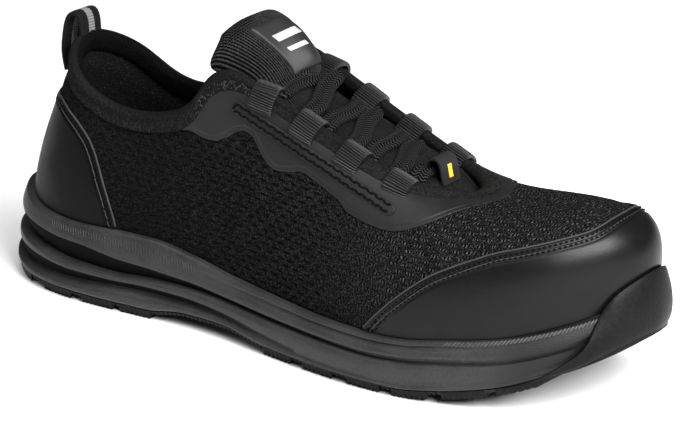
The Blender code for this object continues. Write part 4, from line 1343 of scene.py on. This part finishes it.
# Tongue centre line from the vamp to its free end: x, z, half width and drop of the edges.
TONGUE = (
    (230, 66.5, 15, 3), (215, 69.8, 20, 3), (203, 74.5, 23, 3.5), (188, 79, 25, 4), (167, 86.5, 25.5, 5),
    (147, 94.5, 24, 7), (136, 101, 22, 8.5), (129.5, 111, 20, 9), (123.5, 119.5, 25, 14.5),
    (116, 126.5, 23, 10.5), (112.5, 128.8, 17.5, 6),
)
TONGUE_THICKNESS = 5.0
TONGUE_ROUND = 3.0
TONGUE_ROWS = 120
TONGUE_COLUMNS = 201
TONGUE_RIB_HEIGHT = 0.42
TONGUE_EDGE = 0.87
TONGUE_TAIL = 3.0
TONGUE_EASE = 2.3

# Along the tongue: sideways run of its ribs, rise of its padded inner half, rise of its edge in the throat.
TONGUE_TWIST = ((0, 0), (60, 0), (106, 8.5), (131, -0.9), (140, -3.5))
TONGUE_PUFF = ((0, 0), (96, 0), (103, 4.5), (110, 7.0), (119, 5.0), (128, 2.2), (137, 0))
TONGUE_FILL = ((0, 1.5), (10, 3.0), (30, 3.0), (60, 3.0), (90, 2.0), (104, 0), (137, 0))
PUFF_ACROSS = (-0.3, 0.45)
FILL_ACROSS = (0.35, 1.0)
TONGUE_RUN = path_length(np.array(TONGUE, float)[:, :2])
TONGUE_LENGTH = TONGUE_RUN[-1]
TONGUE_CURVE = natural_spline(TONGUE_RUN, TONGUE)
TWIST_CURVE, PUFF_CURVE, FILL_CURVE = (table_curve(rows) for rows in (TONGUE_TWIST, TONGUE_PUFF, TONGUE_FILL))


def tongue_frame(along):
    centre = TONGUE_CURVE(along)
    ahead = TONGUE_CURVE(along + 0.5) - TONGUE_CURVE(along - 0.5)
    return centre, unit(np.stack([ahead[..., 1], -ahead[..., 0]], -1))


def tongue_point(along, across, lift):
    """Plain outer face of the tongue, raised by lift."""
    along = np.asarray(along, float)
    across = np.asarray(across, float)
    centre, normal = tongue_frame(along)
    depth = lift - centre[..., 3] * np.abs(across)**TONGUE_ROUND
    x = centre[..., 0] + normal[..., 0] * depth
    y = centre[..., 2] * across * np.ones_like(x)
    z = centre[..., 1] + normal[..., 1] * depth
    return np.stack([x, y, z], -1)


def tongue_along(x):
    samples = np.linspace(0.0, TONGUE_LENGTH, 400)
    return float(np.interp(-x, -TONGUE_CURVE(samples)[:, 0], samples))


def tongue_face(along, across, lift):
    """Outer face: the padded inner half rises over the first lace run, and the edge fills the throat."""
    raised = PUFF_CURVE(along) * smooth_step(across, *PUFF_ACROSS)
    raised = raised + FILL_CURVE(along) * smooth_step(across, *FILL_ACROSS)
    return tongue_point(along, across, lift + raised)


def build_tongue():
    along = np.linspace(0.0, TONGUE_LENGTH, TONGUE_ROWS)
    across = np.linspace(-1.0, 1.0, TONGUE_COLUMNS)
    along, across = np.meshgrid(along, across, indexing="ij")
    edge = np.clip((np.abs(across) - TONGUE_EDGE) / (1 - TONGUE_EDGE), 0.0, 1.0)
    tail = np.clip((along - (TONGUE_LENGTH - TONGUE_TAIL)) / TONGUE_TAIL, 0.0, 1.0)
    turn = np.clip(np.hypot(edge, tail), 0.0, 1.0)
    fall = TONGUE_EASE * (1.0 - np.sqrt(1.0 - turn ** 2))
    width = TONGUE_CURVE(along)[..., 2] * across - TWIST_CURVE(along)
    ribs = TONGUE_RIB_HEIGHT * np.cos(2 * math.pi * width / TONGUE_RIB) * (1 - turn)
    outer = tongue_face(along, across, ribs - fall)
    inner = tongue_face(along, across, fall - TONGUE_THICKNESS)
    weave = np.stack([along, width, across], -1)
    piece = shell("tongue_pad", outer, inner, [TONGUE_KNIT, LINING], ["tongue"], weave,
                  inner_look=1)


# Patch on the tongue: its reach along the tongue and half width, then plain bars as shares of both.
LABEL_ALONG = (106.0, 130.0)
LABEL_HALF = 11.0
LABEL_BARS = ((0.60, 0.74, -0.62, 0.62), (0.38, 0.46, -0.62, 0.2))
PLATE_EASE = 0.7
PLATE_ROOT = 0.5


def tongue_plate(name, ends, sides, lift, thick, look, stands_for=()):
    """Thin plate on the tongue with eased edges, which follows the run of the ribs."""
    along = np.linspace(*ends, 30)
    across = np.linspace(*sides, 33)
    grid_along, grid_y = np.meshgrid(along, across, indexing="ij")
    inset = np.minimum(np.minimum(grid_along - along[0], along[-1] - grid_along),
                       np.minimum(grid_y - across[0], across[-1] - grid_y))
    top = lift + thick * (0.2 + 0.8 * quarter_round(inset, PLATE_EASE))
    where = (grid_y + TWIST_CURVE(grid_along)) / TONGUE_CURVE(grid_along)[..., 2]
    where = np.clip(where, -0.97, 0.97)
    outer = tongue_face(grid_along, where, top)
    inner = tongue_face(grid_along, where, lift - PLATE_ROOT)
    shell(name, outer, inner, [look], stands_for)


def build_label():
    start, stop = LABEL_ALONG
    tongue_plate("tongue_patch", LABEL_ALONG, (-LABEL_HALF, LABEL_HALF), 0.45, 0.6, PATCH, ["tongue_label"])
    for number, (low, high, left, right) in enumerate(LABEL_BARS, start=1):
        ends = (start + low * (stop - start), start + high * (stop - start))
        tongue_plate(f"patch_bar_{number}", ends, (left * LABEL_HALF, right * LABEL_HALF), 1.0, 0.2, PALE)


def ribbed(pitch, depth):
    """Thickness factor along a strap with ribs across it."""
    return lambda along: 1.0 + depth * (np.abs(np.cos(math.pi * along / pitch)) - 0.5)


# Path of the heel pull loop in the middle plane, above its foot on the heel.
PULL = (
    (20.5, 97), (20.9, 104), (21.9, 109.5), (24.1, 113), (27, 113.6), (29, 111), (29.7, 107), (30, 104.6),
)
PULL_HALF_WIDTH = 7.0
PULL_THICKNESS = 1.8
PULL_FOOT_Z = 88.5
PULL_RIB = 1.15
PULL_RIB_DEPTH = 0.35
PULL_STEPS = 260
STRAP_SQUARE = 6.0


def build_pull():
    foot = skin(0, share_at_height(0, PULL_FOOT_Z))
    seat = (foot[0] - GAP - PULL_THICKNESS / 2, foot[2])
    line = smooth_path(np.array((seat,) + PULL, float), PULL_STEPS, PULL_STEPS)
    flat = np.zeros(len(line))
    centre = np.column_stack([line[:, 0], flat, line[:, 1]])
    ahead = np.gradient(centre, axis=0)
    normal = unit(np.column_stack([-ahead[:, 2], flat, ahead[:, 0]]))
    made = strap(centre, normal, PULL_HALF_WIDTH, PULL_THICKNESS / 2, STRAP_SQUARE, 28,
                 ribbed(PULL_RIB, PULL_RIB_DEPTH))
    add_straps("pull_strap", [made], [PULL_WEBBING], ["pull_loop"])


# Path of a lace loop: distance below the throat edge and distance out from the upper's face.
LOOP_PATH = (
    (8.4, 0.5), (7.4, 1.5), (5.4, 2.3), (3.0, 2.8), (0.8, 2.8), (-1.2, 2.0), (-2.6, 0.4), (-3.3, -1.9),
    (-3.4, -4.4), (-2.8, -6.6), (-1.4, -7.8), (0.2, -7.6), (1.4, -6.6), (2.6, -5.7), (4.6, -5.2), (7.0, -5.0),
)
LOOP_ROWS_X = (136.0, 156.5, 177.5, 198.5)
LOOP_HALF_WIDTH = 5.5
LOOP_HALF_HEIGHT = 0.75
LOOP_CHORD = 9.0
LOOP_RIB = 1.0
LOOP_RIB_DEPTH = 1.0


def edge_frame(rib):
    """Throat edge at a rib: the edge point, then the ways to the toe, down the face and out of it."""
    point = skin(rib, 1.0)
    behind = rib - LOOP_CHORD if rib < TOE else rib + LOOP_CHORD
    ahead = unit(point - skin(behind, 1.0))
    out = skin_normal(rib, share_below_top(rib, 2.0))
    down = unit(np.cross(ahead, out))
    down = down * -np.sign((down * skin_rise(rib, 1.0)).sum())
    return point, ahead, down, out


def by_the_edge(rib, below, out, upper):
    """Point by the throat edge, square to it; below the edge it follows the upper's face."""
    point, _, down, outward = edge_frame(rib)
    place = point + down * below
    if below > 0.0:
        place, outward = (rows[0] for rows in snap([place], upper))
    return place + outward * out


def build_loops(upper):
    for number, x in enumerate(LOOP_ROWS_X, start=1):
        for side in ("outer", "inner"):
            rib = rib_of_top(x, side == "inner")
            path = np.array([by_the_edge(rib, below, out, upper) for below, out in LOOP_PATH])
            centre = smooth_path(path, 300, 280)
            normal = unit(np.cross(np.gradient(centre, axis=0), edge_frame(rib)[1]))
            made = strap(centre, normal, LOOP_HALF_WIDTH, LOOP_HALF_HEIGHT, STRAP_SQUARE, 18,
                         ribbed(LOOP_RIB, LOOP_RIB_DEPTH))
            add_straps(f"webbing_loop_{side}_{number}", [made], [WEBBING],
                       [f"lace_loop_{side}_{number}"])


# One flat lace in a zigzag: it enters and leaves each loop at LACE_SHIFTS along the throat edge, which are
# given by whether the loop is an inner one. From the last inner loop its hidden end goes up to the
# top inner loop, under the other runs.
LACE_SHIFTS = {False: (-3.2, 2.2), True: (0.4, 4.4)}
LACE_IN_LOOP = (-0.9, -4.7)
LACE_UNDER = (6.0, -7.6)
LACE_SPAN = (0.25, 0.5, 0.75)
LACE_LIFT = 1.5
LACE_OVER = 1.5
LACE_ROLL = 0.35
LACE_MIDDLE = 3.7
LACE_BUNCH = 3.1
LACE_HALF_HEIGHT = 1.45
LACE_ROUND = 2.6
LACE_ROWS = 1600
LACE_SIDES = 56
LACE_YARN = 1.9
LACE_LANE = 1.9
LACE_RELIEF = 0.32


def lace_path():
    """The lace through all loops: points, wanted normals and how bunched it is."""
    rows = []
    for x in LOOP_ROWS_X:
        for medial in (False, True):
            edge, ahead, down, out = edge_frame(rib_of_top(x, medial))
            seat = edge + down * LACE_IN_LOOP[0] + out * LACE_IN_LOOP[1]
            seats = [seat + ahead * shift for shift in LACE_SHIFTS[medial]]
            start = rows[-1][0] if rows else None
            for part in LACE_SPAN if rows else ():
                chord = start + (seats[0] - start) * part
                along = tongue_along(chord[0])
                across = chord[1] / float(TONGUE_CURVE(along)[2])
                lift = LACE_LIFT + (LACE_OVER * part if medial else 0.0)
                height = max(chord[2], tongue_point(along, across, lift)[2])
                normal = tongue_frame(np.float64(along))[1]
                rows.append(((chord[0], chord[1], height), (normal[0], LACE_ROLL * across, normal[1]), 0.0))
            rows += [(seat, out - down, 1.0) for seat in seats]
    for x in LOOP_ROWS_X[-2::-1]:
        edge, _, down, out = edge_frame(rib_of_top(x, True))
        rows.append((edge + down * LACE_UNDER[0] + out * LACE_UNDER[1], out - down, 1.0))
    points, normals, bunch = (np.array(column) for column in zip(*rows))
    return points, unit(normals), bunch


def build_lace():
    points, normals, bunch = lace_path()
    along = path_length(points)
    fine = np.linspace(0.0, along[-1], LACE_ROWS)
    centre = natural_spline(along, points)(fine)
    normal = unit(natural_spline(along, normals)(fine))
    wide = LACE_MIDDLE + (LACE_BUNCH - LACE_MIDDLE) * np.interp(fine, along, bunch)
    rings, weave = strap(centre, normal, wide, LACE_HALF_HEIGHT, LACE_ROUND, LACE_SIDES)
    lane = np.abs((weave[..., 1] + LACE_LANE) % (2 * LACE_LANE) - LACE_LANE)
    crest = 0.5 + 0.5 * np.sin(2 * math.pi * (weave[..., 0] + lane) / LACE_YARN)
    rings = rings + unit(rings - centre[:, None]) * (LACE_RELIEF * (crest - 0.5))[..., None]
    # crest also sets the painted highlight on the braid's yarn crests.
    weave[..., 2] = crest
    add_straps("lace", [(rings, weave)], [LACE],
               ["lace_cross_1", "lace_cross_2", "lace_cross_3", "lace_bar"])


# Folded tag on the lace bar: its section in the middle plane, from the back flap over the lace to the front.
TAG_PATH = (
    (197.5, 75.5), (198.0, 79.5), (199.6, 82.6), (202.2, 83.9), (204.4, 82.6), (205.9, 78.6), (207.3, 73.8),
)
TAG_SIDES = (-4.5, 8.5)
TAG_HALF = 0.4
TAG_MARK = (0.66, 0.9)
TAG_MARK_SIDES = (0.6, 3.4)
TAG_MARK_LIFT = (0.55, 0.3)


def tag_rows(shares, sides, out, columns):
    """Points on the tag: shares along its section, between two sides."""
    path = np.array(TAG_PATH)
    run = path_length(path)
    curve = natural_spline(run, path)
    along = shares * run[-1]
    ahead = unit(curve(along + 0.3) - curve(along - 0.3))
    here = curve(along) + np.column_stack([-ahead[:, 1], ahead[:, 0]]) * out
    y = np.linspace(*sides, columns)
    return np.stack([np.column_stack([np.full(columns, x), y, np.full(columns, z)]) for x, z in here])


def build_tag():
    shares = np.linspace(0.0, 1.0, 60)
    outer, inner = (tag_rows(shares, TAG_SIDES, out, 9) for out in (TAG_HALF, -TAG_HALF))
    shell("lace_tag_fold", outer, inner, [PATCH], ["lace_tag"])
    shares = np.linspace(*TAG_MARK, 20)
    outer, inner = (tag_rows(shares, TAG_MARK_SIDES, out, 5) for out in TAG_MARK_LIFT)
    shell("lace_tag_bar", outer, inner, [YELLOW])


# Welt under the lace loops: distance of its middle line below the throat edge.
WELT = (
    (132.6, 12.2), (137, 14.0), (143.6, 15.0), (157, 14.7), (177, 14.1), (191, 14.5), (198, 15.1),
    (204, 16.2), (208.6, 17.3),
)
WELT_HALF_WIDTH = 2.6
WELT_HALF_HEIGHT = 0.7
WELT_ROW = 1.45
# Stitches as pitch, length, radius, slant and sink.
WELT_STITCH = (2.2, 2.4, 0.55, 0.4, 0.6)
LEATHER_STITCH = (2.2, 1.6, 0.4, 0.0, 0.7)
RIM_LIFT = 1.0
RIM_RADIUS = 0.4
RIM_CLEAR = 1.3
SEAM_RIDGE = 3.08
SEAM_RIDGE_RADIUS = 0.26


def welt_lines(eyestay):
    """Middle line of the welt on each side, with the film's normals."""
    surface = surface_of(eyestay)
    depth = table_curve(WELT)
    whole = np.linspace(0, TOE, 721)
    for ribs in (whole % COUNT, (COUNT - whole) % COUNT):
        x = rib_x(ribs)
        ribs = ribs[(x > WELT[0][0]) & (x < WELT[-1][0])]
        shares = shares_below_top(ribs, depth(rib_x(ribs)))
        yield snap(resample(skin(ribs, shares) + skin_normal(ribs, shares) * ABOVE_PATCH, 260), surface)


def build_welt(eyestay):
    straps, rows = [], []
    for points, normals in welt_lines(eyestay):
        ends = np.minimum(path_length(points), path_length(points[::-1])[::-1])
        wide = np.clip(ends / WELT_HALF_WIDTH, 0.08, 1.0)
        wide = WELT_HALF_WIDTH * np.sqrt(1.0 - (1.0 - wide) ** 2)
        straps.append(strap(points, normals, wide, WELT_HALF_HEIGHT, 3.5, 20))
        ahead, side, _ = path_frames(points, normals)
        inside = ends > WELT_HALF_WIDTH
        points, normals, ahead, side = (found[inside] for found in (points, normals, ahead, side))
        turn = np.linspace(0.0, math.pi, 12)[1:-1, None]
        arc = points[:1] + WELT_ROW * (side[:1] * np.cos(turn) - ahead[:1] * np.sin(turn))
        line = np.vstack([(points + side * WELT_ROW)[::-1], arc, points - side * WELT_ROW])
        out = np.vstack([normals[::-1], np.repeat(normals[:1], len(arc), 0), normals])
        rows.append(stitches(line + out * WELT_HALF_HEIGHT, out, *WELT_STITCH))
    add_straps("eyestay_welt", straps, [WELT_FILM])
    add_stitches("welt_stitches", rows, DARK_THREAD)


def inner_line(line, out, surface, away, toward):
    """Line on the outer face of a patch at a distance from its edge line, on the side of a point."""
    side = unit(np.cross(out, unit(np.gradient(line, axis=0))))
    sign = np.sign((side * (toward - line)).sum(1).mean())
    return snap(line + side * sign * away + out * ABOVE_PATCH, surface)


def build_leather_stitches(patches):
    rows, rims = [], []
    for piece, line, out, toward in patches:
        surface = surface_of(piece)
        clear = line[:, 2] > RIM(line[:, 0]) + RIM_CLEAR
        line, out = line[clear], out[clear]
        for away in LEATHER_ROWS:
            rows.append(stitches(*inner_line(line, out, surface, away, toward), *LEATHER_STITCH))
        # Rim beads and seam ridges take the lighter rim look: painted highlight.
        rims.append(strap(line + out * RIM_LIFT, out, RIM_RADIUS, RIM_RADIUS, 2.0, 8))
        ridge = inner_line(line, out, surface, SEAM_RIDGE, toward)
        rims.append(strap(*ridge, SEAM_RIDGE_RADIUS, SEAM_RIDGE_RADIUS, 2.0, 8))
    add_stitches("leather_stitches", rows, DARK_THREAD)
    add_straps("leather_rims", rims, [LEATHER_RIM_HIGHLIGHT])


FLECK_COUNT = 1300
FLECK_ZONE = (2.3, 6.3)
FLECK_SEED = 7
ABOVE_TAPE = 1.3
BRIGHT_FLECKS = (104.0, 138.0)


def build_tape_stitches(binding):
    """Uneven short threads of the overlock on the collar tape."""
    chance = np.random.default_rng(FLECK_SEED)
    run = path_length(skin(ALL_RIBS, np.ones(COUNT)))
    ribs = np.interp(chance.uniform(0, run[-1], FLECK_COUNT), run, ALL_RIBS)
    below = FLECK_ZONE[0] + (FLECK_ZONE[1] - FLECK_ZONE[0]) * chance.uniform(0, 1, FLECK_COUNT) ** 1.4
    shares = shares_below_top(ribs, below)
    points, normals = snap(skin(ribs, shares) + skin_normal(ribs, shares) * ABOVE_TAPE, surface_of(binding))
    ahead = unit(skin(ribs + 1.0, shares) - skin(ribs - 1.0, shares))
    side = unit(np.cross(normals, ahead))
    turn = chance.normal(1.2, 0.5, FLECK_COUNT)[:, None]
    way = unit(ahead * np.cos(turn) + side * np.sin(turn))
    half = chance.uniform(0.35, 1.0, FLECK_COUNT)
    radius = chance.uniform(0.12, 0.24, FLECK_COUNT)
    rods = capsules(points, way, normals, half, radius)
    bright = (points[:, 0] > BRIGHT_FLECKS[0]) & (points[:, 0] < BRIGHT_FLECKS[1])
    add_stitches("tape_stitches", [rods[~bright]], DIM_THREAD)
    add_stitches("tape_stitches_bright", [rods[bright]], LIGHT_THREAD)


CAMERA_TARGET = (150.0, 0.0, 50.0)
CAMERA_AZIMUTH = 32.0
CAMERA_ELEVATION = 18.3
CAMERA_ROLL = 2.0
CAMERA_DISTANCE = 1500.0
PIXELS_PER_MM = 2.445
IMAGE_SIZE = (683, 439)
TARGET_PIXEL = (326.5, 211.8)
SENSOR = 36.0
WORLD_STRENGTH = 0.10
# Lights, in metres: the sun's direction, spread and strength; place, target, size and power of the others.
SUN = ("overhead", (0.15, -0.28, 0.9), 50.0, 2.2)
AREA_LIGHTS = (
    ("key", (0.95, -0.42, 0.80), (0.12, 0.0, 0.05), (0.95, 0.7), 46.0),
    ("side", (-0.55, -0.95, 1.05), (0.05, 0.0, 0.03), (0.7, 0.5), 3.0),
)
FLOOR_REACH = 4.0
FLOOR_Z = -0.0003


def link(name, data):
    made = bpy.data.objects.new(name, data)
    bpy.context.scene.collection.objects.link(made)
    return made


def build_camera():
    azimuth, elevation, roll = (math.radians(v) for v in (CAMERA_AZIMUTH, CAMERA_ELEVATION, CAMERA_ROLL))
    back = Vector((math.sin(azimuth) * math.cos(elevation), -math.cos(azimuth) * math.cos(elevation),
                   math.sin(elevation)))
    right = Vector((math.cos(azimuth), math.sin(azimuth), 0.0))
    up = back.cross(right)
    turned_right = right * math.cos(roll) + up * math.sin(roll)
    turned_up = up * math.cos(roll) - right * math.sin(roll)
    data = bpy.data.cameras.new("camera")
    data.sensor_width = SENSOR
    data.lens = CAMERA_DISTANCE * PIXELS_PER_MM / IMAGE_SIZE[0] * SENSOR
    data.shift_x = (IMAGE_SIZE[0] / 2 - TARGET_PIXEL[0]) / IMAGE_SIZE[0]
    data.shift_y = -(IMAGE_SIZE[1] / 2 - TARGET_PIXEL[1]) / IMAGE_SIZE[0]
    camera = link("camera", data)
    turn = Matrix((turned_right, turned_up, back)).transposed().to_4x4()
    target = Vector(to_world(CAMERA_TARGET))
    camera.matrix_world = Matrix.Translation(target + back * CAMERA_DISTANCE * MM) @ turn
    bpy.context.scene.camera = camera


def aim(lamp, way):
    lamp.rotation_euler = way.to_track_quat("-Z", "Y").to_euler()


def area_light(name, place, target, size, power):
    data = bpy.data.lights.new(name, "AREA")
    data.shape = "RECTANGLE"
    data.size, data.size_y = size
    data.energy = power
    lamp = link(name, data)
    lamp.location = place
    aim(lamp, Vector(target) - Vector(place))


def sun_light(name, toward, spread, strength):
    data = bpy.data.lights.new(name, "SUN")
    data.angle = math.radians(spread)
    data.energy = strength
    aim(link(name, data), -Vector(toward))


def build_studio():
    world = bpy.data.worlds.new("studio")
    world.use_nodes = True
    background = world.node_tree.nodes["Background"]
    background.inputs["Color"].default_value = (1.0, 1.0, 1.0, 1.0)
    background.inputs["Strength"].default_value = WORLD_STRENGTH
    bpy.context.scene.world = world
    bpy.context.scene.view_settings.view_transform = "Standard"
    sun_light(*SUN)
    for row in AREA_LIGHTS:
        area_light(*row)
    mesh = bpy.data.meshes.new("floor")
    corners = ((-1, -1), (1, -1), (1, 1), (-1, 1))
    mesh.from_pydata([(x * FLOOR_REACH, y * FLOOR_REACH, FLOOR_Z) for x, y in corners], [], [(0, 1, 2, 3)])
    look = Look("floor", grey(0.86), 0.8)
    look.put("Base Color", look.mix(look.noise(300.0), grey(0.85), grey(0.88)))
    mesh.materials.append(look.material)
    floor = link("floor", mesh)


build_camera()
build_studio()
UPPER_PIECE = build_upper()
BINDING_PIECE = build_binding()
LEATHER_PIECES = (build_toe_cap(), build_heel_counter())
EYESTAY_PIECE = build_eyestay()
build_midsole()
build_sole_ribs()
build_outsole()
build_insole()
build_tongue()
build_label()
build_pull()
build_loops(surface_of(UPPER_PIECE))
build_lace()
build_tag()
build_welt(EYESTAY_PIECE)
build_leather_stitches(LEATHER_PIECES)
build_tape_stitches(BINDING_PIECE)
